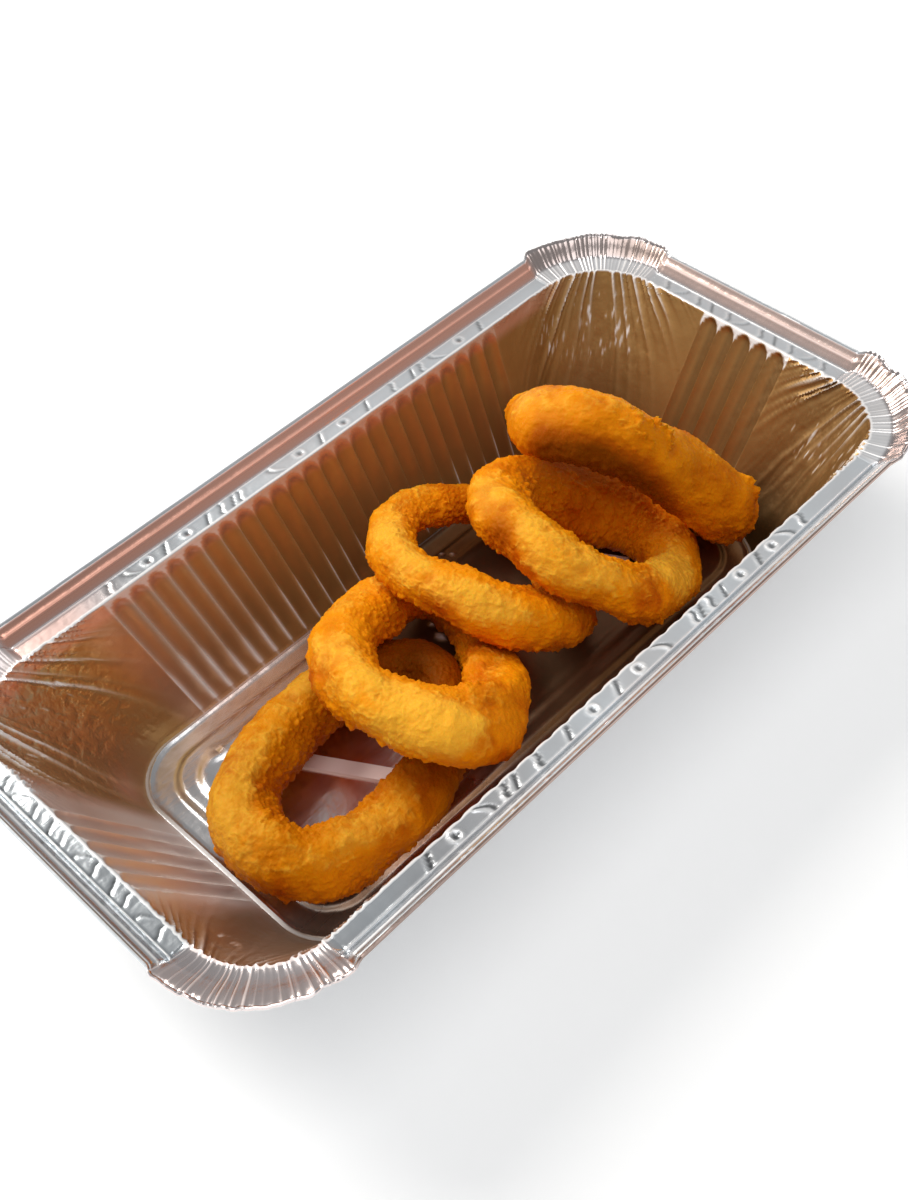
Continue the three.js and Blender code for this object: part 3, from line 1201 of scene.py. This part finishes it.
    def gather(self, columns: Columns) -> Gather:
        """The pleats round the corners.

        Args:
            columns: the places round the tray.

        Returns:
            How the foil is gathered at each of them.
        """
        share, where = columns.corner, columns.spots(0)
        count = np.where(columns.wall == Wall.LEFT, *self.pleats)
        beat = share * count + 0.45 * noise(where / 1.6, Seed.PLEAT_SWAY)
        own = np.column_stack([np.floor(beat + 0.5), columns.wall, share * 0])
        return Gather(
            share=np.where(share >= 0, smoothstep(share, 0.0, 0.07) * smoothstep(share, 1.0, 0.93), 0),
            pleat=1 - np.abs(np.sin(math.pi * beat)) ** 0.8,
            strong=0.55 + 0.45 * noise(own, Seed.PLEAT_STRENGTH),
            lumps=noise(where / 2.9, Seed.BEAD_LUMPS) + 0.4 * noise(where / 1.3, Seed.BEAD_NUBS),
            edge=np.where(share >= 0, np.exp(-np.minimum(share, 1 - share) * 60), 0),
        )

    def mark(self, along: Array, out: float, kind: Mark) -> Array:
        """Height of one pressed mark.

        Args:
            along: distance along the ledge from the mark's middle.
            out: distance out from the ledge's inner edge.
            kind: the mark's shape.

        Returns:
            Upward shift of each place.
        """
        across = out - self.mark_line
        reach = np.hypot(along, across)
        soft = smoothstep(reach, 3.1, 2.2)
        if kind is Mark.DIMPLE:
            return 0.17 * bell(reach - 1.25, 0.4) - 0.2 * bell(reach, 0.75)
        if kind is Mark.ARCH:
            bow = along + 0.35 * (across - 1.2) ** 2 - 0.6
            return soft * (0.16 * bell(bow, 0.42) - 0.12 * bell(bow - 1.0, 0.5))
        if kind is Mark.CURL:
            bow = along + 0.55 * np.sin(across * 1.6)
            return soft * (0.18 * bell(bow, 0.45) - 0.16 * bell(bow - 0.95, 0.5))
        bow = along + 0.55 * across
        return soft * (-0.2 * bell(bow, 0.5) + 0.08 * bell(bow + 1.0, 0.45))

    def pressed(self, columns: Columns, out: float) -> Array:
        """Height of the ledge's pressed marks.

        Args:
            columns: the places round the tray.
            out: distance out from the ledge's inner edge.

        Returns:
            Upward shift of each place.
        """
        x, y = columns.rim.T
        lift = np.zeros(len(x))
        slash, dimple, arch, curl = Mark.SLASH, Mark.DIMPLE, Mark.ARCH, Mark.CURL
        kinds = (slash, dimple, arch, curl, slash, curl, slash, dimple)
        for sign, wall, depth in ((1, Wall.NEAR, 1.5), (-1, Wall.FAR, 0.7)):
            there = (columns.corner < 0) & (columns.wall == wall)
            for k, place in enumerate(self.long_marks):
                lift += np.where(there, depth * self.mark(sign * x - place, out, kinds[k % len(kinds)]), 0)
        kinds = (curl, arch, curl, slash)
        for sign, wall, depth in ((1, Wall.LEFT, 0.55), (-1, Wall.RIGHT, 0.55)):
            there = (columns.corner < 0) & (columns.wall == wall)
            for k in range(self.end_marks):
                place = (k - 5.2) * self.pitch * 0.93 + lattice(np.array([[k, 3, 1]]), Seed.MARKS)[0]
                lift += np.where(there, depth * self.mark(sign * y - place, out, kinds[k % len(kinds)]), 0)
        return lift * (smoothstep(out, 0.5, 1.1) * smoothstep(out, 4.3, 3.8))

    def rim_shape(self, level: Level, columns: Columns, gather: Gather, pressed: Array) -> Array:
        """The rim's outline at one level, with marks, pleats and the bead's lumps.

        Args:
            level: the level.
            columns: the places round the tray.
            gather: the pleats round the corners.
            pressed: height of the ledge's marks.

        Returns:
            Three numbers to a point.
        """
        line = self.outline(self.wall_size(level.climb), level.climb, self.rim_mesh)
        out, height = level.out, self.height_at(level.climb)
        reach = self.wall_relief(columns, level.climb, height)
        slope = level.up
        if level.climb == 1:
            reach *= math.exp(-out / 0.7)
            if out < self.bead_start:
                slope = 0.1 + 3.2 * smoothstep(out, 0.6 + 3.6 * columns.within(STEEP_RIM), 8.6)
        reach += out
        z = height + level.up + (slope - level.up) * gather.share
        z += 0.05 * noise(columns.spots(out, 9, 3), Seed.LEDGE_WAVES)
        if level.climb == 1:
            rising, bead = smoothstep(out, 0.2, 8.0), smoothstep(out, 7.2, 8.4)
            z += pressed
            crest = gather.share * gather.strong * (gather.pleat - 0.35)
            z += crest * (0.22 + 0.16 * rising) * smoothstep(out, 0, 0.5)
            z += gather.share * (0.7 * rising) - 0.25 * gather.edge * smoothstep(out, 0.3, 1.0)
            reach += gather.share * rising * 1.2
            reach += gather.share * bead * 0.45 * gather.lumps
            z += gather.share * bead * 0.25 * np.roll(gather.lumps, 5)
        return self.shifted(line, reach, z)

    def rim_looks(self, level: Level, columns: Columns, gather: Gather, pressed: Array) -> dict[str, Array]:
        """How the foil of the ledge, flange and bead looks at one level, with painted reflection, painted
        highlights and painted shade.

        Args:
            level: the level.
            columns: the places round the tray.
            gather: the pleats round the corners.
            pressed: height of the ledge's marks.

        Returns:
            Numbers by attribute.
        """
        out, gathered, straight = level.out, gather.share, 1 - gather.share
        ledge = smoothstep(out, 0.5, 0.9) * smoothstep(out, 4.4, 3.9)
        outer = smoothstep(out, 4.0, 4.8)
        flange = smoothstep(out, 4.6, 5.2) * smoothstep(out, 8.3, 7.8)
        # the near side's bead: painted shade and painted reflection
        lip = smoothstep(out, self.bead_start, 8.6) * columns.within(NEAR_LIP) * straight
        bright, far_left = columns.within(BRIGHT_RIM), columns.within(FAR_LEFT_RIM)
        right, left = columns.within(RIGHT_RIM), columns.within(LEFT_RIM)
        # painted highlights: the corners' pale inner band and lines on the pleats' crests
        band = gathered * bright * (1 - outer)
        crest = gathered * gather.strong * smoothstep(gather.pleat, 0.5, 0.8) * min(out, 1)
        crest *= 0.9 - 0.7 * outer * bright
        plain = level.matt_and_highlight * (1 - gathered * smoothstep(out, 0.6, 1.0))
        # the ledge matt and paler over the left half and at the far left: real roughness and painted light
        matt_and_highlight = 0.02 + 0.33 * np.maximum(bright, far_left)
        scuff_and_glint = np.maximum(plain * (1 - lip), crest) + ledge * matt_and_highlight
        # painted pink reflection on the far and right flanges, the corners, the near bead and the far left
        # ledge
        pink_reflection = flange * np.maximum(columns.within(FAR_RIM), 0.35 * right) * straight
        # painted shade and light: lighter over the left half and on the pleats' crests, darker on the
        # corners' outer flange, the near bead and the ledge's left end and far left
        shade = 0.8 + 0.2 * bright + gathered * (0.15 - 0.5 * bright * outer) + 0.2 * crest
        shade = shade - 0.35 * lip - 0.16 * ledge * left - 0.2 * ledge * far_left * straight
        return {
            "reflected_warmth": 0.03 + flange * 0.08 + 0.1 * gathered + 0.3 * lip,
            # pressed marks: raised sides painted pale and hollows dark, as painted highlight and painted
            # shade
            "scuff_and_glint": np.clip(scuff_and_glint + np.clip(2 * pressed, 0, 0.5) + 0.08 * band, 0, 1),
            "pink_reflection": pink_reflection + 0.2 * gathered * (1 - band) + 0.2 * lip + 0.6 * ledge * far_left * straight,
            "shade": np.clip(shade + np.clip(5 * pressed, -0.6, 0), 0, 1),
            "dull_brown_reflection": 0.3 * flange * right,
            "crackle": np.zeros(len(right)),
        }

    def build_rim(self, finish: Material) -> list[Piece]:
        """The ledge with its marks, and the flange with the rolled bead.

        Args:
            finish: the foil's material.

        Returns:
            The two finished pieces.
        """
        columns = self.columns(self.rim_mesh)
        gather = self.gather(columns)
        levels = self.profile()
        rows, looks = [], []
        for level in levels:
            pressed = self.pressed(columns, level.out)
            rows.append(self.rim_shape(level, columns, gather, pressed))
            if level.climb < 1:
                looks.append(self.wall_looks(columns, self.height_at(level.climb)))
            else:
                looks.append(self.rim_looks(level, columns, gather, pressed))
        split = next(k for k, level in enumerate(levels) if level.out == self.ledge_end)
        return [
            self.sheet("tray_ledge", rows[:split + 1], looks[:split + 1], finish),
            self.sheet("tray_flange", rows[split:], looks[split:], finish),
        ]

    # ----- pieces -----

    def sheet(
        self, name: str, rows: list[Array], looks: list[dict[str, Array]], finish: Material,
        closed: bool = True,
    ) -> Piece:
        """Make a stack of outlines into one sheet of foil and give it its thickness.

        Args:
            name: the piece's name.
            rows: outlines from the inside out, each with three numbers to a point.
            looks: numbers by attribute for the points of each outline.
            finish: the foil's material.
            closed: whether each outline runs back to its start.

        Returns:
            The finished piece.
        """

        def whole(row: Array) -> Array:
            """One outline, with its first point again at its end where it is closed."""
            return np.concatenate([row, row[:1]]) if closed else row

        piece = add_grid(name, len(whole(rows[0])), len(rows))
        place_points(piece, np.concatenate([whole(row) for row in rows]))
        for key in looks[0]:
            paint(piece, key, np.concatenate([whole(look[key]) for look in looks]))
        edit(piece, lambda: bpy.ops.mesh.remove_doubles(threshold=0.00002))
        normals = np.empty(len(piece.data.polygons) * 3, np.float32)
        piece.data.polygons.foreach_get("normal", normals)
        if normals.reshape(-1, 3)[:, 2].mean() < 0:
            edit(piece, bpy.ops.mesh.flip_normals)
        wall = piece.modifiers.new("foil", "SOLIDIFY")
        wall.thickness = self.thickness * MM
        wall.offset = -1
        inner_face = len(piece.data.vertices)
        make_active(piece)
        bpy.ops.object.modifier_apply(modifier="foil")
        for key, value in self.outside.items():
            layer = piece.data.attributes[key].data
            values = np.empty(len(layer), np.float32)
            layer.foreach_get("value", values)
            values[inner_face:] = value
            layer.foreach_set("value", values)
        bpy.ops.object.shade_smooth_by_angle(angle=math.radians(self.smooth_angle))
        piece.data.materials.append(finish)
        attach(piece, "root")
        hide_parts("foil_tray")
        return piece

    def build(self) -> None:
        """Make and dress the whole tray."""
        bright, satin = self.finish.build(), self.wall_finish.build()
        pieces = [self.build_floor(bright), self.build_walls(satin), *self.build_rim(bright)]
        pieces += [self.build_bar(bright, sign) for sign in (-1, 1)]
        for piece in pieces:
            LOG.info("%s: %d faces", piece.name, len(piece.data.polygons))


# ---------- the onion rings ----------


def apart(angle: Array, degrees: float) -> Array:
    """Angle between each of the angles and a place stated in degrees."""
    return np.abs((angle - math.radians(degrees) + math.pi) % TURN - math.pi)


@dataclass
class Limb:
    """The limb's smooth surface, one row to each vertex."""

    around: Array  # angle round the ring
    across: Array  # angle round the limb: 0 outwards, a quarter turn up
    middle: Array  # the limb's middle line
    outward: Array  # direction away from the ring's hole, X and Y
    radial: Array  # half the limb's thickness in the ring's plane
    axial: Array  # and square to it

    def skin(self, height: Array) -> Array:
        """Points of the surface raised by a height.

        Args:
            height: one number for each vertex.

        Returns:
            Three numbers to a vertex.
        """
        out = (self.radial + height) * np.cos(self.across)
        up = (self.axial + height) * np.sin(self.across)
        return np.column_stack([self.middle[:, :2] + self.outward * out[:, None], self.middle[:, 2] + up])

    def facing(self) -> Array:
        """Direction in which the surface looks, in the ring's own frame."""
        return np.column_stack([self.outward * np.cos(self.across)[:, None], np.sin(self.across)])


@dataclass(frozen=True)
class Spot:
    """A place on the crust that is raised, or darkened with browning and painted shade, or lightened with
    painted light.
    """

    around: float  # degrees round the ring
    across: float  # degrees round the limb: 0 outwards, 90 up
    reach: float
    # browning and painted shade; below 0 it is painted light
    brown: float = 0
    lift: float = 0


@dataclass(frozen=True)
class Crumbs:
    """One size of crumbs, with more of them in patches, in the hole and underneath."""

    seed: Seed
    cell: float  # size of the cells that hold one crumb each
    fill: Triple  # share of the cells that are filled: anywhere, added at the edges, and in patches
    most: float  # greatest share
    height: Span  # anywhere, and added at the edges
    pale: float = 0  # how much paler single ones are


@dataclass(frozen=True)
class Bulge:
    """A long swelling of the limb."""

    around: float = 0
    across: float = 0
    length: float = 40  # in degrees round the ring
    width: float = 60  # in degrees round the limb
    height: float = 0

    def over(self, limb: Limb) -> Array:
        """Height of the swelling.

        Args:
            limb: the limb that it is on.

        Returns:
            One number for each of the limb's vertices.
        """
        away = (apart(limb.around, self.around) / math.radians(self.length)) ** 2
        away += (apart(limb.across, self.across) / math.radians(self.width)) ** 2
        return self.height * np.exp(-away)


@dataclass
class OnionRing:
    """One fried ring: a closed limb round an oval line, in a crust of crumbs."""

    name: str
    seed: int
    centre: Triple
    tip: float  # lean, in degrees
    tip_axis: float  # direction of the level line about which it leans, in degrees from X
    spin: float  # turn in its own plane, in degrees
    half_long: float  # of the limb's middle line
    half_short: float
    radial: float  # half the limb's thickness in the ring's plane
    axial: float  # and square to it
    thin: Span  # how much the thickness varies, and where it is greatest, in degrees
    warp: Span  # how far it is bent out of its plane, and where it is highest, in degrees
    corner: Span  # how three-cornered it is, and where the first corner is, in degrees
    # how bright the whole ring is painted; below 1 it is painted shade
    tone: float = 1.0
    spots: tuple[Spot, ...] = ()
    bulge: Bulge = Bulge()
    crumbs: tuple[Crumbs, ...] = (
        Crumbs(Seed.CRUMBS, 1.3, (0.1, 0.3, 0.2), 0.7, (0.26, 0.34), 0.3),
        Crumbs(Seed.BITS, 0.85, (0.16, 0.4, 0.25), 0.8, (0.16, 0.28)),
        Crumbs(Seed.BIG_CRUMBS, 2.1, (0.04, 0.3, 0.15), 0.42, (0.2, 0.55)),
    )
    around_steps: int = 248
    limb_steps: int = 92
    swells: int = 5
    swell_height: float = 0.22
    sink: float = 0.28  # how far the crust is lowered before crumbs stand out of it
    light: Triple = (-0.4, 0.05, 0.91)  # direction of the painted light, from which the crust is palest

    def middle_line(self, angle: Array) -> Array:
        """The middle of the limb in the ring's own frame.

        Args:
            angle: angles round the ring.

        Returns:
            Three numbers to an angle.
        """
        swell = 1 + self.corner[0] * np.cos(3 * angle - math.radians(self.corner[1]))
        return np.stack([
            self.half_long * np.cos(angle) * swell,
            self.half_short * np.sin(angle) * swell,
            self.warp[0] * np.cos(2 * angle - math.radians(self.warp[1])),
        ], axis=1)

    def swell(self, limb: Limb) -> Array:
        """Height of the crust's long swells.

        Args:
            limb: the limb's surface.

        Returns:
            One number for each vertex.
        """

        def scatter(a: int, b: int) -> float:
            """A repeatable number from 0 to 1 for a pair of whole numbers."""
            wave = math.sin(a * 12.9898 + b * 78.233) * 43758.5453
            return wave - math.floor(wave)

        height = np.zeros(len(limb.around))
        for wave in range(1, self.swells + 1):
            cross = 1 + math.floor(scatter(self.seed, wave + 20) * 3)
            height += np.sin((wave + 2) * limb.around + cross * limb.across + scatter(self.seed, wave) * TURN)
        return height * self.swell_height

    def turn(self, points: Array) -> Array:
        """Lean and spin points of the ring's own frame and carry them to its place.

        Args:
            points: three numbers to a point.

        Returns:
            The points in the tray's frame.
        """
        spin, tip, axis = (math.radians(a) for a in (self.spin, self.tip, self.tip_axis))
        cos, sin = math.cos(spin), math.sin(spin)
        about_z = np.array([[cos, -sin, 0], [sin, cos, 0], [0, 0, 1]])
        cos, sin = math.cos(axis), math.sin(axis)
        cross = np.array([[0, 0, sin], [0, 0, -cos], [-sin, cos, 0]])
        lean = np.eye(3) + math.sin(tip) * cross + (1 - math.cos(tip)) * cross @ cross
        return points @ (lean @ about_z).T + np.array(self.centre)

    def face(self, directions: Array) -> Array:
        """Lean and spin directions of the ring's own frame."""
        return self.turn(directions) - np.array(self.centre)

    def add_torus(self) -> tuple[Piece, Limb]:
        """Add a plain torus with all the ring's vertices.

        Returns:
            The piece, and the ring's smooth surface for its vertices.
        """
        deselect()
        ring_radius = (self.half_long + self.half_short) / 2
        bpy.ops.mesh.primitive_torus_add(
            major_segments=self.around_steps, minor_segments=self.limb_steps,
            major_radius=ring_radius * MM, minor_radius=self.radial * MM, location=(0, 0, 0),
        )
        piece = bpy.context.object
        piece.name = piece.data.name = self.name + "_crust"
        edit(piece, lambda: bpy.ops.mesh.subdivide(number_cuts=1))
        co = np.empty(len(piece.data.vertices) * 3, np.float32)
        piece.data.vertices.foreach_get("co", co)
        co = co.reshape(-1, 3).astype(float) / MM
        around = np.arctan2(co[:, 1], co[:, 0])
        across = np.arctan2(co[:, 2], np.hypot(co[:, 0], co[:, 1]) - ring_radius)
        middle = self.middle_line(around)
        ahead = self.middle_line(around + 1e-3) - middle
        outward = np.stack([ahead[:, 1], -ahead[:, 0]], 1)
        outward /= np.linalg.norm(outward, axis=1, keepdims=True)
        girth = 1 + self.thin[0] * np.cos(around - math.radians(self.thin[1]))
        return piece, Limb(around, across, middle, outward, self.radial * girth, self.axial * girth)

    def build(self, material: Material) -> Piece:
        """Model the ring, give it its crust and dress it.

        Args:
            material: the crust's finish.

        Returns:
            The finished piece.
        """
        piece, limb = self.add_torus()
        swell = self.swell(limb)
        base = limb.skin(swell)
        spot = base + self.seed * 97.3
        facing = self.face(limb.facing())
        inner = smoothstep(-np.cos(limb.across), 0.0, 0.75)
        under = smoothstep(-facing[:, 2], -0.15, 0.6)
        edge = np.maximum(inner, under)
        # lumps, ridges and crumbs, thickest in the hole and underneath
        patchy = noise(spot / 6, Seed.CRUMB_PATCHES)
        sway = [noise(spot / 1.1, seed) for seed in (Seed.BEND_X, Seed.BEND_Y, Seed.BEND_Z)]
        bent = spot + 0.4 * np.column_stack(sway)
        lumps = 0.34 * noise(spot / 5.0, Seed.HUMPS) + 0.22 * noise(bent / 2.4, Seed.KNOBS)
        shred_patches = smoothstep(noise(bent / 2.1, Seed.SHRED_PATCHES), -0.2, 0.4)
        shred = ridges(bent / 1.9, Seed.SHREDS, shred_patches, 5)
        flake_patches = smoothstep(noise(bent / 1.6, Seed.FLAKE_PATCHES), -0.1, 0.5)
        flake = ridges(bent / 1.05, Seed.FLAKES, flake_patches, 4)
        grown, flecks = np.zeros(len(base)), np.zeros(len(base))
        for size in self.crumbs:
            fill = np.clip(size.fill[0] + size.fill[1] * edge + size.fill[2] * patchy, 0, size.most)
            crumb, tone = grains(bent / size.cell, size.seed, fill)
            grown += crumb * (size.height[0] + size.height[1] * edge)
            flecks += size.pale * crumb * tone
        height = swell + lumps + 0.26 * shred + 0.2 * flake + 0.11 * noise(spot / 0.65, Seed.GRIT) - self.sink
        height += grown
        # single places
        browning_and_shade = np.zeros(len(base))
        for place in self.spots:
            off = apart(limb.around, place.around) ** 2 + apart(limb.across, place.across) ** 2
            near = bell(np.linalg.norm(base - base[np.argmin(off)], axis=1), place.reach)
            browning_and_shade += place.brown * near
            height += place.lift * near * (0.3 + 1.3 * flake + 0.8 * shred)
        height += self.bulge.over(limb)
        place_points(piece, self.turn(limb.skin(height)))
        # colours: painted light on the side facing the light, painted shade in the crevices, the hole and
        # underneath
        lit = smoothstep(facing @ np.array(self.light), 0.1, 0.95)
        crevice_shade = smoothstep(lumps + 0.19 * shred, 0.15, -0.5) * 0.5 + 0.3 * inner + 0.35 * under + browning_and_shade
        pale = 0.8 * lit + 0.4 * noise(spot / 9, Seed.PALE_PATCHES) + flecks + 0.3 * shred + 0.3 * flake
        pale -= 0.15 + 0.3 * edge + browning_and_shade
        deep = np.clip(browning_and_shade - 1, 0, 1)
        paint(piece, "shade", self.tone * (1 - 0.35 * np.clip(browning_and_shade, 0, 1) - 0.3 * deep))
        paint(piece, "crevice_shade", np.clip(crevice_shade, 0, 1))
        paint(piece, "pale", np.clip(pale, 0, 1))
        bpy.ops.object.shade_smooth()
        piece.data.materials.append(material)
        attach(piece, "root")
        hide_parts(self.name)
        return piece


RINGS = (
    OnionRing(
        name="onion_ring_1", seed=1, centre=(-43, -6.9, 11.8), tip=5.6, tip_axis=66, spin=12,
        half_long=29.1, half_short=16.7, radial=7.1, axial=7.7,
        # ring 1 lies low in the tray, in shade: its tone and its spots are painted shade
        thin=(0.07, 153), warp=(1.3, -32), corner=(0.01, 45), tone=0.74,
        spots=(Spot(0, 90, 13, 0.9), Spot(285, 80, 10, 0.6), Spot(10, 105, 8, 0.7), Spot(338, 125, 8, 0.6)),
    ),
    OnionRing(
        name="onion_ring_2", seed=2, centre=(-16.6, -4.8, 22), tip=28.3, tip_axis=94, spin=37,
        half_long=27.5, half_short=16.8, radial=6.8, axial=6.5,
        thin=(0.05, 158), warp=(0.9, 86), corner=(0.09, -24),
        # spots: painted light on the lower limb, painted shade on the right part under ring 3
        spots=(Spot(178, 0, 9, -0.3), Spot(205, 10, 7, -0.2), Spot(222, 64, 5, 0.35)),
        bulge=Bulge(213, 352, 34, 60, 4.2),
    ),
    OnionRing(
        name="onion_ring_3", seed=3, centre=(14.2, 6.4, 19.9), tip=30.7, tip_axis=83, spin=31,
        half_long=26, half_short=21.7, radial=6.4, axial=5.6,
        thin=(0.2, 234), warp=(1.4, 21), corner=(0.04, -15),
        # painted light on the left top
        spots=(Spot(118, 80, 8, -0.3),),
    ),
    OnionRing(
        name="onion_ring_4", seed=4, centre=(34.3, -9.4, 22.7), tip=33.8, tip_axis=75, spin=-9,
        half_long=25.5, half_short=20.1, radial=7.2, axial=6.4,
        thin=(0.05, 90), warp=(1.3, 68), corner=(0.05, -10),
        spots=(
            # darker spots on the front, painted light on the right end
            Spot(172, 0, 4.5, 0.8), Spot(182, -12, 3.5, 0.5), Spot(292, 75, 10, -1.1), Spot(227, 37, 8, 0.12),
            # the far limb's top, dark with painted shade under ring 5
            Spot(85, 72, 4.2, 1.2), Spot(68, 92, 4.0, 1.2), Spot(50, 106, 4.0, 1.2), Spot(30, 116, 3.8, 1.0),
        ),
        bulge=Bulge(40, 235, 50, 50, 5.5),
    ),
    OnionRing(
        name="onion_ring_5", seed=5, centre=(57.3, 1.9, 26.7), tip=51.7, tip_axis=98.1, spin=47.5,
        half_long=23.8, half_short=25.7, radial=7, axial=6.5,
        thin=(0.3, 223), warp=(1.6, -22), corner=(0.12, 66),
        spots=(
            # flaky patch and single knobs
            Spot(133, 355, 7, 0.1), Spot(166, 20, 5, 0.25), Spot(164, 28, 4.5, 0.1, 1.6),
            Spot(172, 26, 3, 0.15, 1.3), Spot(150, 20, 5, 0.35), Spot(244, 44, 1.7, 0, 1.7),
            Spot(240, 54, 1.6, 0, 1.5),
            # browned front
            # the front towards the right end, darkened with painted shade
            Spot(195, 10, 7, 0.35), Spot(225, 10, 6, 0.25), Spot(242, 15, 4, 0.6),
            # the underside, dark with painted shade
            Spot(149, 290, 4.6, 2.4), Spot(157, 302, 4.0, 2.4), Spot(166, 305, 3.8, 2.2),
            Spot(177, 301, 3.8, 2.0), Spot(190, 288, 3.8, 1.7), Spot(138, 282, 4.4, 2.2),
            Spot(206, 270, 4.4, 1.4),
        ),
        bulge=Bulge(130, 285, 40, 45, 4.5),
    ),
)


# ---------- the studio ----------


@dataclass(frozen=True)
class Softbox:
    """One soft lamp that looks at the tray. Its lengths are metres."""

    name: str
    direction: Triple
    distance: float
    size: float
    power: float
    colour: Triple = (1, 1, 1)

    def build(self) -> None:
        """Add the lamp."""
        light = bpy.data.lights.new(self.name, "AREA")
        light.shape = "DISK"
        light.size = self.size
        light.energy = self.power
        light.color = self.colour
        lamp = bpy.data.objects.new(self.name, light)
        bpy.context.scene.collection.objects.link(lamp)
        length = math.sqrt(sum(c * c for c in self.direction))
        lamp.location = [c / length * self.distance for c in self.direction]
        lamp.rotation_mode = "QUATERNION"
        lamp.rotation_quaternion = lamp.location.to_track_quat("Z", "Y")


@dataclass
class Studio:
    """Table, soft lamps, surroundings and camera. Its lengths are metres."""

    table_size: float = 6
    table_drop: float = 0.0001  # how far the table's top lies under the tray
    lamps: tuple[Softbox, ...] = (
        Softbox("key_box", (-0.16, 0.82, 0.75), 1.2, 0.65, 10, (1.0, 0.97, 0.92)),
        Softbox("top_box", (-0.15, -0.2, 1.0), 1.5, 1.3, 7.5),
    )
    surround: Triple = (0.98, 0.99, 1.0)
    surround_strength: float = 0.36
    camera_place: Triple = (-0.15255, -0.15993, 0.28294)
    camera_turn: Triple = (40.2845, 2.3571, -46.0381)  # in degrees
    lens: float = 45.385
    sensor_width: float = 36

    def build(self) -> None:
        """Set the scene up round the object."""
        self.add_table()
        for lamp in self.lamps:
            lamp.build()
        world = bpy.data.worlds.new("surround")
        world.use_nodes = True
        background = world.node_tree.nodes["Background"]
        background.inputs["Color"].default_value = (*self.surround, 1)
        background.inputs["Strength"].default_value = self.surround_strength
        bpy.context.scene.world = world
        self.add_camera()
        bpy.context.scene.view_settings.view_transform = "Standard"

    def add_table(self) -> None:
        """Add the table that the tray stands on."""
        deselect()
        bpy.ops.mesh.primitive_plane_add(size=self.table_size, location=(0, 0, -self.table_drop))
        table = bpy.context.object
        table.name = "table"
        edit(table, lambda: bpy.ops.mesh.subdivide(number_cuts=3))
        table.data.materials.append(TableFinish().build())

    def add_camera(self) -> None:
        """Add the camera and look through it."""
        data = bpy.data.cameras.new("camera")
        data.lens = self.lens
        data.sensor_width = self.sensor_width
        data.clip_start = 0.01
        camera = bpy.data.objects.new("camera", data)
        camera.location = self.camera_place
        camera.rotation_euler = [math.radians(a) for a in self.camera_turn]
        bpy.context.scene.collection.objects.link(camera)
        bpy.context.scene.camera = camera


def main() -> None:
    """Build the studio, the tray and the rings."""
    logging.basicConfig(level=logging.INFO, format="%(message)s")
    Studio().build()
    FoilTray().build()
    crust = CrustFinish().build()
    for ring in RINGS:
        piece = ring.build(crust)
        LOG.info("%s: %d faces", piece.name, len(piece.data.polygons))


if __name__ == "__main__":
    main()
